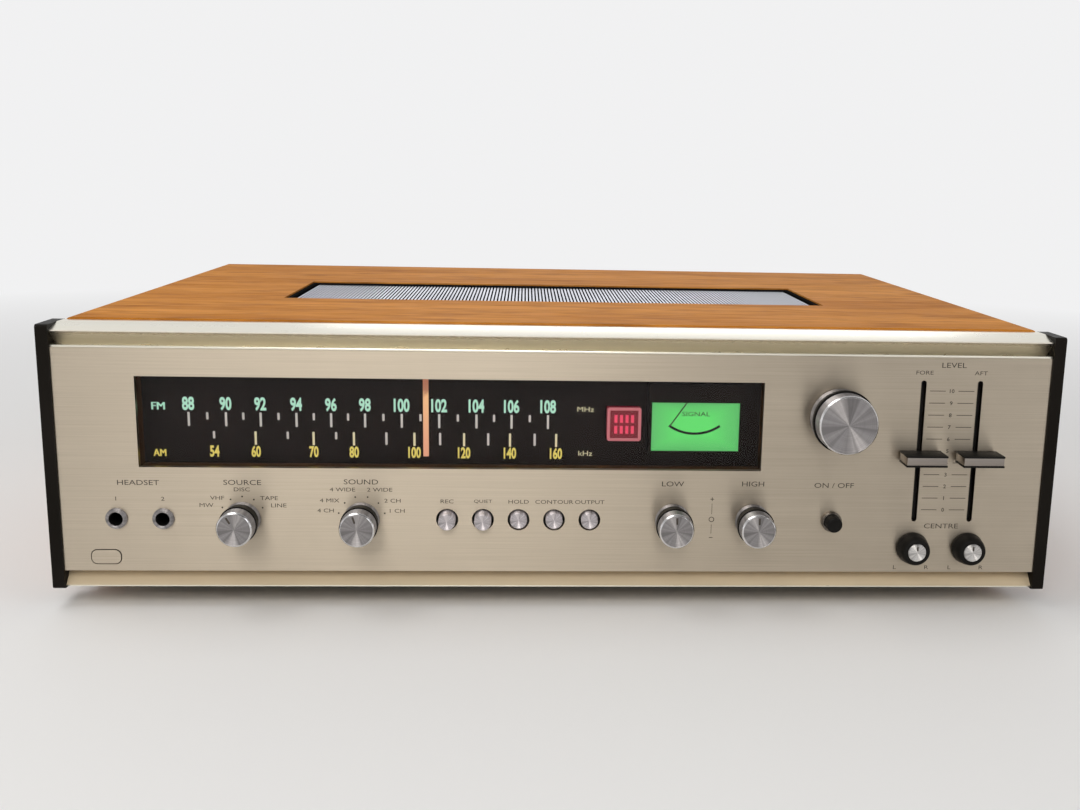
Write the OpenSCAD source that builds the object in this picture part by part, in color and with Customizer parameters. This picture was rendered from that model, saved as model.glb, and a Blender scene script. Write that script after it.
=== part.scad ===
// Four channel stereo receiver in a wooden cabinet, with a lit tuning dial,
// turned metal knobs, push buttons and two volume sliders.
// Millimetres, +Z up, the front faces -Y, the feet stand on Z = 0.

/* [Overall] */
// Width over the two end caps
overall_w = 484; // [430:1:540]
// Depth from the front of the end caps to the rear edge of the cabinet
body_d = 342; // [325:1:420]
// Height of the end caps
cap_h = 127; // [126:0.5:145]
// Height of the end caps above the floor
cap_lift = 10; // [8:0.5:12]

/* [Front frame] */
// Thickness of an end cap
cap_t = 5.7; // [4:0.1:8]
// Depth of an end cap
cap_d = 24; // [22:0.5:40]
// Corner radius of an end cap
cap_r = 1.5; // [0.5:0.1:3]
// Front panel face behind the front of the end caps
panel_inset = 1; // [0.2:0.1:3]
// Thickness of the front panel
panel_t = 3; // [2:0.1:4]
// Trim rail seen below the panel
bottom_reveal = 9; // [7:0.5:11]
// Trim rail seen above the panel
top_reveal = 10.5; // [8:0.5:11]
// Foot of a trim rail face behind the front of the end caps
rail_recess = 9.5; // [8:0.5:12]
// Nose of a trim rail behind the front of the end caps
rail_nose = 2; // [1:0.5:6]
// Fall of a trim rail from its flat edge to its nose
rail_fall = 2.6; // [1:0.1:4]
// Height of the blunt nose of a trim rail
rail_lip = 0.6; // [0.3:0.1:1.5]
// Wall of a trim rail
rail_t = 3; // [2:0.1:4]
// Height of the rail leg that backs the panel edge
rail_leg = 2.5; // [1.5:0.1:3]

/* [Cabinet] */
// Thickness of the cabinet boards
board_t = 12; // [9:0.5:13]
// Cabinet front edge behind the front of the end caps
board_front = 21.5; // [18:0.5:22]
// Cabinet top above the end caps
board_rise = 1; // [0:0.1:1.5]
// Bottom edge of the side boards above the bottom of the end caps
board_lift = 1; // [0.5:0.1:2.5]
// Radius of the long top edges
edge_r = 3; // [1:0.1:6]
// Gap between the side boards and the end caps
cap_gap = 0.5; // [0.2:0.1:1]

/* [Vent] */
// Vent opening from the sides of the cabinet
vent_edge = 84.1; // [65:0.1:110]
// Depth of the vent opening
vent_d = 99; // [80:1:120]
// Vent opening behind the front of the end caps
vent_y = 119; // [105:1:130]
// Wall of the vent frame
vent_wall = 2.5; // [1.5:0.1:4]
// Vent frame rim below the cabinet top
vent_rim_drop = 0.8; // [0.3:0.1:2]
// Grille top below the cabinet top
grille_drop = 3; // [2.5:0.1:5]
// Thickness of the grille
grille_t = 2; // [1:0.1:3]
// Ledge and flange width of the vent frame
vent_ledge = 3; // [2:0.1:6]
// Spacing of the grille slats
slat_pitch = 2; // [1.6:0.1:4]
// Width of one grille slat
slat_w = 1.1; // [0.8:0.1:1.3]

/* [Dial] */
// Dial window from the panel's left end
window_left = 37.4; // [34:0.1:44]
// Height of the dial window
window_h = 43.4; // [38:0.2:45]
// Dial window from the panel's right end
window_right = 139.6; // [137:0.1:146]
// Centre of the dial window above the panel bottom
window_rise = 72.7; // [70.5:0.1:73]
// Thickness of the window pane
pane_t = 2; // [1:0.1:3]
// Wall of the dial housing
housing_t = 2; // [1:0.1:3]
// Scale plate front behind the front of the end caps
scale_y = 15; // [14:0.1:16]
// Thickness of the scale plate
scale_t = 1.5; // [1:0.1:2]
// Middle of the pointer at rest from the window's left end
pointer_in = 133.5; // [110:0.1:160]
// Width of the pointer
pointer_w = 2.6; // [1.5:0.1:4]
// Pointer tip above the panel bottom
pointer_rise = 57; // [54:0.1:62]

/* [Meter and lamp] */
// Middle of the meter from the window's right end
meter_in = 31.5; // [28.5:0.1:32.1]
// Width of the meter face
meter_w = 42.9; // [36:0.1:43.4]
// Height of the meter face
meter_h = 24; // [20:0.1:26]
// Bottom of the meter face above the panel bottom
meter_rise = 58.8; // [56:0.1:60]
// Meter front behind the front of the end caps
meter_y = 9; // [8:0.1:11]
// Needle pivot above the meter face
pivot_rise = 5.8; // [4.5:0.1:6.5]
// Length of the meter needle
needle_l = 22; // [18:0.5:24]
// Needle angle at rest, left of straight down
needle_angle = 34.7; // [20:0.1:38]
// Middle of the lamp lens from the window's right end
lens_in = 66.1; // [64.5:0.1:68]
// Width and height of the indicator lens
lens_w = 16.6; // [12:0.1:17]
// Centre of the indicator lens above the panel bottom
lens_rise = 71.3; // [68:0.1:74]

/* [Cord drive] */
// Radius of the cord on the drum
drum_r = 33; // [30:0.5:33]
// Middle of the cord drum from the window's right end
drum_in = 56.7; // [50:0.1:64]
// Radius of the cord on the tuning shaft
capstan_r = 4; // [3.8:0.1:5]
// Radius of the cord on an idler pulley
idler_r = 5; // [4:0.1:6]
// Centre of the idler pulleys from the left end of the chassis
idler_edge = 14.3; // [12:0.1:15.5]
// Thickness of the dial cord
cord_d = 0.8; // [0.6:0.1:1]
// Upper run of the cord below the cabinet top board
cord_drop = 3.5; // [3:0.1:4]
// Radius of the flywheel
flywheel_r = 25; // [18:0.5:28]
// Width of the flywheel
flywheel_w = 12; // [6:0.5:16]

/* [Knobs] */
// Radius of the four round knobs
knob_r = 8.4; // [7:0.1:10]
// Length of a round knob's base ring
knob_ring_l = 3.8; // [2:0.1:5]
// Length of a round knob's black band
knob_band_l = 7.2; // [3:0.1:9]
// Length of a round knob's cap
knob_cap_l = 7.9; // [6:0.1:12]
// Radius of the tuning knob
tuning_r = 14.2; // [11:0.1:16]
// Length of the tuning knob's base ring
tuning_ring_l = 4.6; // [2:0.1:6]
// Length of the tuning knob's black band
tuning_band_l = 6; // [3:0.1:8]
// Length of the tuning knob's cap
tuning_cap_l = 8.8; // [7:0.1:15]
// Base radius of a balance knob
balance_r = 8; // [7:0.1:9]
// Front radius of a balance knob
balance_front_r = 6.6; // [6:0.1:7]
// Length of a balance knob
balance_l = 8.4; // [6:0.1:12]
// Radius of a balance knob's insert
insert_r = 4.4; // [3.5:0.1:5]
// Radius of the control shafts
shaft_r = 3; // [2.5:0.1:3.2]
// Gap between a knob and the panel
knob_gap = 0.6; // [0.3:0.1:1]

/* [Control places] */
// Centre of the control row above the panel bottom
row_rise = 26; // [25:0.1:27]
// Middle of the selector knob from the panel's left end
selector_edge = 84.8; // [80:0.1:94]
// Middle of the mode knob from the panel's left end
mode_edge = 141; // [132:0.1:146]
// Middle of the bass knob from the panel's right end
bass_edge = 181.9; // [178:0.1:186]
// Middle of the treble knob from the panel's right end
treble_edge = 142.7; // [138:0.1:148]
// Middle of the power button from the panel's right end
power_edge = 103.6; // [98:0.1:110]
// Middle of the tuning knob from the panel's right end
tuning_edge = 102.8; // [98:0.1:106]
// Tuning knob above the panel bottom
tuning_rise = 77.8; // [75:0.1:79]
// Middle of the two volume sliders from the panel's right end
slider_edge = 48.5; // [44:0.1:50]
// Spacing of the two volume sliders
slider_pitch = 27.7; // [26:0.1:30]
// Slider slot bottom above the panel bottom
slot_rise = 26; // [25:0.1:28]
// Length of a slider slot
slot_h = 70.4; // [66:0.1:72]
// Width of a slider slot
slot_w = 2.6; // [2.4:0.1:3.4]
// Slider rest height above the panel bottom
slider_rise = 59.4; // [55:0.1:62]
// Balance knobs above the panel bottom
balance_rise = 12.6; // [11.5:0.1:13.5]
// First push button along X
button_x = -54.6; // [-58:0.1:-52]
// Spacing of the push buttons
button_pitch = 17.15; // [15.5:0.05:18]
// Middle of the two phone jacks from the panel's left end
jack_edge = 36.8; // [34:0.1:40]
// Spacing of the two phone jacks
jack_pitch = 21.8; // [19:0.1:23]

/* [Buttons and sliders] */
// Radius of a push button
button_r = 4.1; // [3.5:0.1:4.5]
// Radius of a push button's hole
button_hole_r = 5.3; // [5:0.1:6]
// A push button that is out stands this far off the panel
button_out = 5.5; // [4.5:0.1:7]
// A push button that is in stands this far off the panel
button_in = 2; // [1:0.1:3]
// Radius of the power button
power_r = 3.9; // [3:0.1:4.5]
// The power button stands this far off the panel
power_out = 8; // [6:0.1:10]
// Width of a slider knob
slider_w = 20; // [16:0.1:24]
// Height of a slider knob
slider_h = 5.6; // [5:0.1:8]
// A slider knob stands this far off the panel
slider_out = 14; // [10:0.1:16]

/* [Phone jacks] */
// Radius of a jack's bore
jack_r = 3.2; // [3.2:0.05:3.4]
// Length of a jack's bore
jack_l = 32; // [30:0.5:36]
// Outer radius of a jack's bush
jack_bush_r = 4.4; // [4.2:0.1:4.8]
// Radius of a jack's nut
jack_nut_r = 5; // [4.9:0.1:6]

/* [Chassis] */
// Height of the rubber feet
foot_h = 13; // [12:0.5:16]
// Radius of the rubber feet
foot_r = 11; // [8:0.5:16]
// Middle of the feet from the sides of the chassis
foot_edge = 32.3; // [22:0.1:50]
// Front feet behind the front of the end caps
foot_y = 60; // [45:1:80]
// Rear feet in front of the rear panel
foot_back = 32; // [20:1:50]
// Thickness of the chassis sheet
sheet_t = 1.2; // [0.8:0.1:2]
// Gap between the chassis and the side boards
chassis_gap = 1.5; // [0.5:0.1:2.5]
// Sub panel behind the front of the end caps
sub_y = 22; // [21:0.1:25]
// Rear panel in front of the rear edge of the cabinet
rear_inset = 12; // [11.5:0.5:16]
// Height of the pan's side flanges
flange_h = 16; // [10:0.5:20]

/* [Inside] */
// Width of the power transformer
transformer_w = 84; // [60:1:90]
// Depth of the power transformer
transformer_d = 70; // [50:1:80]
// Height of the power transformer
transformer_h = 72; // [50:1:85]
// Length of the heat sink
sink_w = 190; // [150:1:196]
// Height of the heat sink
sink_h = 60; // [50:1:70]
// Depth of the heat sink's fins
fin_d = 28; // [20:1:32]
// Number of heat sink fins
fin_count = 18; // [8:1:22]
// Radius of a filter capacitor
filter_r = 17; // [12:0.5:18]
// Height of a filter capacitor
filter_h = 70; // [50:1:80]
// Thickness of a circuit board
pcb_t = 1.6; // [1:0.1:2.4]
// Height of a circuit board above the pan
pcb_rise = 8; // [5:0.5:9]
// Width of the tuning capacitor
gang_w = 34; // [28:0.5:36]
// Depth of the tuning capacitor
gang_d = 46; // [36:0.5:50]
// Height of the tuning capacitor
gang_h = 36; // [30:0.5:38]

/* [Rear fittings] */
// Columns of phono sockets
phono_columns = 8; // [4:1:8]
// Spacing of the phono sockets
phono_pitch = 16; // [14:0.5:17]
// Radius of a phono socket
phono_r = 4.15; // [4.1:0.05:4.2]
// Length of a phono socket
phono_l = 9; // [8:0.1:10]
// Length of the aerial bar
aerial_l = 150; // [120:1:160]
// Radius of the aerial bar
aerial_r = 4.5; // [3.5:0.1:4.7]

/* [Clearances] */
// Running gap around a turning shaft
run_gap = 0.05; // [0.03:0.01:0.12]
// Gap around pieces that slide past each other
slide_gap = 0.3; // [0.2:0.05:0.4]
// Gap around pieces that drop into place
seat_gap = 0.2; // [0.1:0.05:0.4]

/* [Hidden] */
$fn = 48;

// Front frame
half_w = overall_w / 2;
inner_half = half_w - cap_t;
cap_top = cap_lift + cap_h;
panel_front = panel_inset;
panel_back = panel_inset + panel_t;
panel_z0 = cap_lift + bottom_reveal;
panel_z1 = cap_top - top_reveal;
rail_back = rail_recess + rail_t;

// Cabinet
board_half = inner_half - cap_gap;
board_top = cap_top + board_rise;
board_under = board_top - board_t;
board_foot = cap_lift + board_lift;
vent_half = board_half - vent_edge;

// Chassis
chassis_half = board_half - board_t - chassis_gap;
pan_z = foot_h;
pan_top = foot_h + sheet_t;
sub_back = sub_y + sheet_t;
rear_face = body_d - rear_inset;
rear_front = rear_face - sheet_t;
rear_top = board_under - chassis_gap;
foot_rear_y = rear_face - foot_back;
foot_x = chassis_half - foot_edge;

// Front of the frame, so that the whole object is centred along Y
knob_back = panel_front - knob_gap;
tuning_front = knob_back - tuning_ring_l - tuning_band_l - tuning_cap_l;
knob_front = knob_back - knob_ring_l - knob_band_l - knob_cap_l;
foremost = min(tuning_front, knob_front, panel_front - slider_out);
front_y = -(body_d + foremost) / 2;

// Places of the controls along X
selector_x = -inner_half + selector_edge;
mode_x = -inner_half + mode_edge;
bass_x = inner_half - bass_edge;
treble_x = inner_half - treble_edge;
power_x = inner_half - power_edge;
tuning_x = inner_half - tuning_edge;
round_xs = [bass_x, treble_x];
switch_xs = [selector_x, mode_x];

// Heights of the controls
row_z = panel_z0 + row_rise;
tuning_z = panel_z0 + tuning_rise;
window_z = panel_z0 + window_rise;
slot_z0 = panel_z0 + slot_rise;
slider_z = panel_z0 + slider_rise;
balance_z = panel_z0 + balance_rise;

// Dial
pane_lap = 3;
pane_back = panel_back + pane_t;
window_x0 = -inner_half + window_left;
window_x1 = inner_half - window_right;
window_z0 = window_z - window_h / 2;
window_z1 = window_z + window_h / 2;
housing_gap = 1;
housing_x0 = window_x0 - housing_gap;
housing_x1 = window_x1 + housing_gap;
housing_z0 = window_z0 - housing_gap;
pointer_x = window_x0 + pointer_in;
housing_back = sub_y - housing_t;
scale_back = scale_y + scale_t;
cord_top_z = board_under - cord_drop;
carriage_h = 3.4;
carriage_top = cord_top_z - cord_d / 2 - slide_gap;
scale_top = carriage_top - carriage_h - slide_gap;

// Cord drive
drum_x = window_x1 - drum_in;
idler_x = -chassis_half + idler_edge;
drum_z = cord_top_z - drum_r;
cord_low_z = drum_z - drum_r;
cord_seat = slide_gap + 0.2;
upper_idler_z = cord_top_z - idler_r;
lower_idler_z = cord_low_z + idler_r;
groove_w = 2.6;
flange_t = 0.8;
drum_y0 = sub_back + 1.6;
pointer_cord_y = drum_y0 + flange_t + groove_w / 2;
drive_cord_y = pointer_cord_y + groove_w + flange_t;
drum_y1 = drive_cord_y + groove_w / 2 + flange_t;
gang_y0 = drum_y1 + 2;
flywheel_y0 = drum_y1 + 4;
tuning_end = flywheel_y0 + flywheel_w + 2;
stud_r = 1.5;

// Controls
control_r = 8.5;
bush_r = 4.6;
bush_l = 10;
pot_l = 15;
switch_l = 28;
shaft_in = 8;
shaft_end = sub_back + shaft_in;
switch_depth = 34;
plunger_r = 1.75;
plunger_end = sub_back + 9;
plunger_bore_end = plunger_end + 8;
button_count = 5;
buttons_out = 2;
button_xs = [for (i = [0 : button_count - 1]) button_x + i * button_pitch];
button_l = 12;
button_bevel = 0.5;
pot_gap = 5;
stem_w = slot_w - 2 * slide_gap - 0.2;
stem_h = 4;
stem_end = panel_back + pot_gap + 6;
slider_x = inner_half - slider_edge;
slider_xs = [slider_x - slider_pitch / 2, slider_x + slider_pitch / 2];
jack_x = -inner_half + jack_edge;
jack_xs = [jack_x - jack_pitch / 2, jack_x + jack_pitch / 2];
jack_body_half = 7;
mark_w = 1;
mark_t = 0.4;

// Meter
meter_x = window_x1 - meter_in;
meter_wall = 1.4;
meter_z0 = panel_z0 + meter_rise;
meter_z1 = meter_z0 + meter_h;
pivot_z = meter_z1 + pivot_rise;
meter_case_z1 = min(pivot_z + 3.5, scale_top - 1);
meter_floor = meter_y + 4;
needle_y = meter_y + 2.2;
pivot_r = 0.7;
lens_x = window_x1 - lens_in;
lens_z = panel_z0 + lens_rise;
lens_y = scale_y - 3;

// Moves a child from the front plane of the end caps to the object's own frame
module in_frame() {
    translate([0, front_y, 0]) children();
}

// Box between two corners
module box(low, high) {
    translate(low) cube(high - low);
}

// Round bar along Y
module rod(r, y0, y1) {
    translate([0, y0, 0]) rotate([-90, 0, 0]) cylinder(r = r, h = y1 - y0);
}

// Round bar along Y that tapers
module cone(r0, r1, y0, y1) {
    translate([0, y0, 0]) rotate([-90, 0, 0]) cylinder(r1 = r0, r2 = r1, h = y1 - y0);
}

// Tube along Y
module tube(r_out, r_in, y0, y1) {
    difference() {
        rod(r_out, y0, y1);
        rod(r_in, y0 - 1, y1 + 1);
    }
}

// Rectangle with round corners, drawn from its low corner
module round_rect(size, r) {
    translate([r, 0]) square([size[0] - 2 * r, size[1]]);
    translate([0, r]) square([size[0], size[1] - 2 * r]);
    for (x = [r, size[0] - r], y = [r, size[1] - r]) {
        translate([x, y]) circle(r);
    }
}

// Plate across Y, from a drawing of X and Z
module plate(y0, y1) {
    translate([0, y1, 0]) rotate([90, 0, 0]) linear_extrude(y1 - y0) children();
}

// Wooden cabinet
module cabinet_top() {
    board_w = 2 * board_half;
    color("peru") in_frame() difference() {
        plate(board_front, body_d) translate([-board_half, board_under]) {
            square([board_w, board_t - edge_r]);
            translate([edge_r, 0]) square([board_w - 2 * edge_r, board_t]);
            translate([edge_r, board_t - edge_r]) circle(edge_r);
            translate([board_w - edge_r, board_t - edge_r]) circle(edge_r);
        }
        box([-vent_half, vent_y, board_under - 1], [vent_half, vent_y + vent_d, board_top + 1]);
    }
}

module cabinet_sides() {
    color("peru") in_frame() for (side = [0, 1]) mirror([side, 0, 0]) {
        difference() {
            box([board_half - board_t, board_front, board_foot], [board_half, body_d, board_under]);
            for (y = screw_ys()) translate([0, y, screw_z()]) rotate([0, 90, 0]) {
                cylinder(r = screw_r + seat_gap, h = half_w);
            }
        }
    }
}

module vent_frame() {
    out_x = vent_half - seat_gap;
    out_y0 = vent_y + seat_gap;
    out_y1 = vent_y + vent_d - seat_gap;
    rim_z = board_top - vent_rim_drop;
    seat_z = board_top - grille_drop - grille_t;
    color("black") in_frame() difference() {
        union() {
            box([-out_x, out_y0, board_under - 1], [out_x, out_y1, rim_z]);
            box([-out_x - vent_ledge, out_y0 - vent_ledge, board_under - sheet_t],
                [out_x + vent_ledge, out_y1 + vent_ledge, board_under]);
        }
        box([-out_x + vent_wall, out_y0 + vent_wall, seat_z],
            [out_x - vent_wall, out_y1 - vent_wall, rim_z + 1]);
        box([-out_x + vent_wall + vent_ledge, out_y0 + vent_wall + vent_ledge, board_under - 5],
            [out_x - vent_wall - vent_ledge, out_y1 - vent_wall - vent_ledge, rim_z]);
    }
}

module vent_grille() {
    half_x = vent_half - vent_wall - 2 * seat_gap;
    y0 = vent_y + vent_wall + 2 * seat_gap;
    y1 = vent_y + vent_d - vent_wall - 2 * seat_gap;
    seat_z = board_top - grille_drop - grille_t;
    gap_w = slat_pitch - slat_w;
    slot_count = floor((2 * half_x - 2 * vent_ledge) / slat_pitch);
    slot_x0 = -slot_count * slat_pitch / 2;
    color("lightsteelblue") in_frame() translate([0, 0, seat_z]) linear_extrude(grille_t) difference() {
        translate([-half_x, y0]) square([2 * half_x, y1 - y0]);
        for (i = [0 : slot_count - 1]) {
            translate([slot_x0 + i * slat_pitch + slat_w / 2, y0 + vent_ledge]) {
                square([gap_w, y1 - y0 - 2 * vent_ledge]);
            }
        }
    }
}

// Front frame
module slot_outline(x) {
    translate([x - slot_w / 2, slot_z0]) round_rect([slot_w, slot_h], slot_w / 2);
}

module front_panel() {
    color("tan") in_frame() plate(panel_front, panel_back) difference() {
        translate([-inner_half, panel_z0]) square([2 * inner_half, panel_z1 - panel_z0]);
        translate([window_x0, window_z0]) square([window_x1 - window_x0, window_h]);
        for (x = slider_xs) slot_outline(x);
        for (x = slider_xs) translate([x, balance_z]) circle(shaft_r + slide_gap);
        for (x = concat(round_xs, switch_xs)) translate([x, row_z]) circle(shaft_r + slide_gap);
        for (x = button_xs) translate([x, row_z]) circle(button_hole_r);
        for (x = jack_xs) translate([x, row_z]) circle(jack_bush_r + run_gap);
        translate([power_x, row_z]) circle(power_r + slide_gap);
        translate([tuning_x, tuning_z]) circle(shaft_r + slide_gap);
    }
}

// Section of a trim rail in depth and height, with the panel edge at height 0
module rail_section(reveal) {
    polygon([
        [panel_back, -rail_leg],
        [panel_back, 0],
        [rail_recess, 0],
        [rail_nose, reveal - rail_fall - rail_lip],
        [rail_nose, reveal - rail_fall],
        [rail_back, reveal],
        [board_front, reveal],
        [board_front, reveal - rail_t],
        [rail_back, reveal - rail_t],
        [rail_back, -rail_leg]
    ]);
}

module rail(reveal) {
    rotate([90, 0, 90]) translate([0, 0, -inner_half]) linear_extrude(2 * inner_half) rail_section(reveal);
}

module trim_rails() {
    color("gainsboro") in_frame() {
        translate([0, 0, panel_z1]) rail(top_reveal);
        translate([0, 0, panel_z0]) mirror([0, 0, 1]) rail(bottom_reveal);
    }
}

module end_caps() {
    color("black") in_frame() for (x = [-half_w, inner_half]) {
        translate([x, 0, cap_lift]) rotate([90, 0, 90]) {
            linear_extrude(cap_t) round_rect([cap_d, cap_h], cap_r);
        }
    }
}

// Feet and screws
screw_r = 2;
screw_head_r = 4;
screw_head_t = 2;
screw_in = 40;
function screw_ys() = [sub_back + screw_in, rear_front - screw_in];
function screw_z() = pan_top + flange_h / 2;
function foot_places() = [for (x = [-1, 1], y = [foot_y, foot_rear_y]) [x * foot_x, y]];
screw_tip = 4;
screw_l = board_half - chassis_half + screw_tip + sheet_t;
foot_recess = foot_h / 2;
foot_recess_r = screw_head_r + 1.5;

module rubber_feet() {
    color("dimgray") in_frame() for (p = foot_places()) translate([p[0], p[1], 0]) difference() {
        union() {
            cylinder(r1 = foot_r - 1, r2 = foot_r, h = 2);
            translate([0, 0, 2]) cylinder(r = foot_r, h = foot_h - 2);
        }
        translate([0, 0, -1]) cylinder(r = foot_recess_r, h = foot_recess + 1);
        cylinder(r = screw_r + seat_gap, h = foot_h + 1);
    }
}

module case_screws() {
    color("silver") in_frame() {
        for (p = foot_places()) translate([p[0], p[1], foot_recess - screw_head_t]) {
            cylinder(r = screw_head_r, h = screw_head_t);
            cylinder(r = screw_r, h = pan_top + screw_tip - foot_recess + screw_head_t);
        }
        for (side = [0, 1], y = screw_ys()) mirror([side, 0, 0]) {
            translate([board_half, y, screw_z()]) rotate([0, 90, 0]) {
                cylinder(r = screw_head_r, h = screw_head_t);
                translate([0, 0, -screw_l]) cylinder(r = screw_r, h = screw_l);
            }
        }
    }
}

// Dial
module dial_window() {
    color("lightcyan") in_frame() {
        box([window_x0 - pane_lap, panel_back, window_z0 - pane_lap],
            [window_x1 + pane_lap, pane_back, window_z1 + pane_lap]);
    }
}

module dial_housing() {
    color("black") in_frame() {
        box([housing_x0 - housing_t, pane_back, housing_z0 - housing_t], [housing_x0, sub_y, scale_top]);
        box([housing_x1, pane_back, housing_z0 - housing_t], [housing_x1 + housing_t, sub_y, scale_top]);
        box([housing_x0, pane_back, housing_z0 - housing_t], [housing_x1, sub_y, housing_z0]);
        box([housing_x0, housing_back, housing_z0], [housing_x1, sub_y, scale_top]);
    }
}

module dial_scale_plate() {
    case_w = meter_w + 2 * meter_wall + 2 * seat_gap;
    color("saddlebrown") in_frame() plate(scale_y, scale_back) difference() {
        translate([housing_x0, housing_z0]) square([housing_x1 - housing_x0, scale_top - housing_z0]);
        translate([meter_x - case_w / 2, meter_z0 - meter_wall - seat_gap]) {
            square([case_w, meter_case_z1 - meter_z0 + meter_wall + 2 * seat_gap]);
        }
        translate([lens_x - lens_w / 2 - seat_gap, lens_z - lens_w / 2 - seat_gap]) {
            square(lens_w + 2 * seat_gap);
        }
    }
}

module dial_pointer() {
    needle_t = 1.2;
    needle_front = scale_y - needle_t - 0.6;
    carriage_w = 12;
    color("orangered") in_frame() translate([pointer_x, 0, 0]) {
        box([-pointer_w / 2, needle_front, panel_z0 + pointer_rise],
            [pointer_w / 2, needle_front + needle_t, carriage_top]);
        box([-carriage_w / 2, needle_front, carriage_top - carriage_h],
            [carriage_w / 2, pointer_cord_y + cord_d, carriage_top]);
    }
}

module pilot_lamps() {
    lamp_r = (housing_back - scale_back) / 2;
    lamp_l = 14;
    lamp_count = 4;
    lamp_pitch = 50;
    color("lemonchiffon") in_frame() for (i = [0 : lamp_count - 1]) {
        translate([housing_x0 + 20 + i * lamp_pitch, scale_back + lamp_r, housing_z0 + lamp_r]) {
            rotate([0, 90, 0]) cylinder(r = lamp_r, h = lamp_l);
        }
    }
}

// Closed loop of cord round a list of pulleys, each [x, z, radius of the cord's middle]
module cord_loop(pulleys, y) {
    plate(y - cord_d / 2, y + cord_d / 2) difference() {
        hull() for (p = pulleys) translate([p[0], p[1]]) circle(p[2] + cord_d / 2);
        hull() for (p = pulleys) translate([p[0], p[1]]) circle(p[2] - cord_d / 2);
    }
}

module dial_cords() {
    drum = [drum_x, drum_z, drum_r];
    upper_idler = [idler_x, upper_idler_z, idler_r];
    lower_idler = [idler_x, lower_idler_z, idler_r];
    capstan = [tuning_x, tuning_z, capstan_r];
    color("black") in_frame() {
        cord_loop([drum, upper_idler, lower_idler], pointer_cord_y);
        cord_loop([drum, capstan], drive_cord_y);
    }
}

// Radius of the bottom of a pulley's groove and of its flanges
function groove_r(cord_r) = cord_r - cord_d / 2 - cord_seat;
function flange_r(cord_r) = cord_r + cord_d / 2 + 1;

module idler_pulley(z) {
    color("ivory") in_frame() translate([idler_x, 0, z]) difference() {
        union() {
            rod(groove_r(idler_r), drum_y0, drum_y0 + groove_w + 2 * flange_t);
            rod(flange_r(idler_r), drum_y0, drum_y0 + flange_t);
            rod(flange_r(idler_r), drum_y0 + flange_t + groove_w, drum_y0 + groove_w + 2 * flange_t);
        }
        rod(stud_r + run_gap, drum_y0 - 1, drum_y1);
    }
}

module upper_idler_pulley() {
    idler_pulley(upper_idler_z);
}

module lower_idler_pulley() {
    idler_pulley(lower_idler_z);
}

module cord_drum() {
    color("whitesmoke") in_frame() translate([drum_x, 0, drum_z]) {
        rod(groove_r(drum_r), drum_y0, drum_y1);
        for (y = [drum_y0, drum_y0 + groove_w + flange_t, drum_y1 - flange_t]) {
            rod(flange_r(drum_r), y, y + flange_t);
        }
        rod(shaft_r, drum_y1, gang_y0 + shaft_in);
    }
}

module tuning_capacitor() {
    leg_t = 2;
    color("silver") in_frame() difference() {
        union() {
            box([drum_x - gang_w / 2, gang_y0, drum_z - gang_h / 2],
                [drum_x + gang_w / 2, gang_y0 + gang_d, drum_z + gang_h / 2]);
            for (x = [drum_x - gang_w / 2, drum_x + gang_w / 2 - leg_t]) {
                box([x, gang_y0 + gang_d / 2, pan_top], [x + leg_t, gang_y0 + gang_d, drum_z]);
            }
        }
        translate([drum_x, 0, drum_z]) rod(shaft_r + run_gap, gang_y0 - 1, gang_y0 + shaft_in + 2);
    }
}

module tuning_shaft() {
    bore = shaft_r + run_gap;
    color("silver") in_frame() translate([tuning_x, 0, tuning_z]) {
        rod(shaft_r, tuning_front + 4, tuning_end);
        tube(flywheel_r, bore, flywheel_y0, flywheel_y0 + flywheel_w);
    }
}

// Turned knobs: a black body, and a bright cap with a bright base ring
function knob_core_r(r) = r - 2.4;
function knob_band_r(r) = r - 0.15;
function knob_plug_r(r) = r - 1.4;
cap_face_t = 1.2;
cap_bevel = 1.2;

module turned_body(r, ring_l, band_l, cap_l, shaft_l) {
    ring_y = knob_back - ring_l;
    band_y = ring_y - band_l;
    plug_y = band_y - cap_l + cap_face_t;
    difference() {
        union() {
            rod(knob_core_r(r), ring_y, knob_back);
            rod(knob_band_r(r), band_y, ring_y);
            rod(knob_plug_r(r), plug_y, band_y);
        }
        rod(shaft_r + run_gap, knob_back - shaft_l, knob_back + 1);
    }
}

module turned_cap(r, ring_l, band_l, cap_l) {
    ring_y = knob_back - ring_l;
    band_y = ring_y - band_l;
    face_y = band_y - cap_l;
    tube(r + 0.1, knob_core_r(r), ring_y, knob_back);
    difference() {
        union() {
            rod(r, face_y + cap_bevel, band_y);
            cone(r - cap_bevel, r, face_y, face_y + cap_bevel);
        }
        rod(knob_plug_r(r), face_y + cap_face_t, band_y + 1);
        box([-mark_w / 2, face_y - 1, r / 2], [mark_w / 2, face_y + mark_t, r + 1]);
    }
}

// Body of a round knob, with the shaft that it turns
module round_body(x, angle) {
    color("black") in_frame() translate([x, 0, row_z]) rotate([0, angle, 0]) {
        turned_body(knob_r, knob_ring_l, knob_band_l, knob_cap_l, knob_ring_l + knob_band_l + knob_cap_l / 2);
        rod(shaft_r, knob_back - knob_ring_l - knob_band_l - knob_cap_l / 2 + 1, shaft_end);
    }
}

module round_cap(x, angle) {
    color("silver") in_frame() translate([x, 0, row_z]) rotate([0, angle, 0]) {
        turned_cap(knob_r, knob_ring_l, knob_band_l, knob_cap_l);
    }
}

// Marks of the two switches at rest, left of straight up
selector_angle = -30;
mode_angle = -15;

module selector_knob() {
    round_body(selector_x, selector_angle);
}

module selector_knob_cap() {
    round_cap(selector_x, selector_angle);
}

module mode_knob() {
    round_body(mode_x, mode_angle);
}

module mode_knob_cap() {
    round_cap(mode_x, mode_angle);
}

module bass_knob() {
    round_body(bass_x, 0);
}

module bass_knob_cap() {
    round_cap(bass_x, 0);
}

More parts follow.
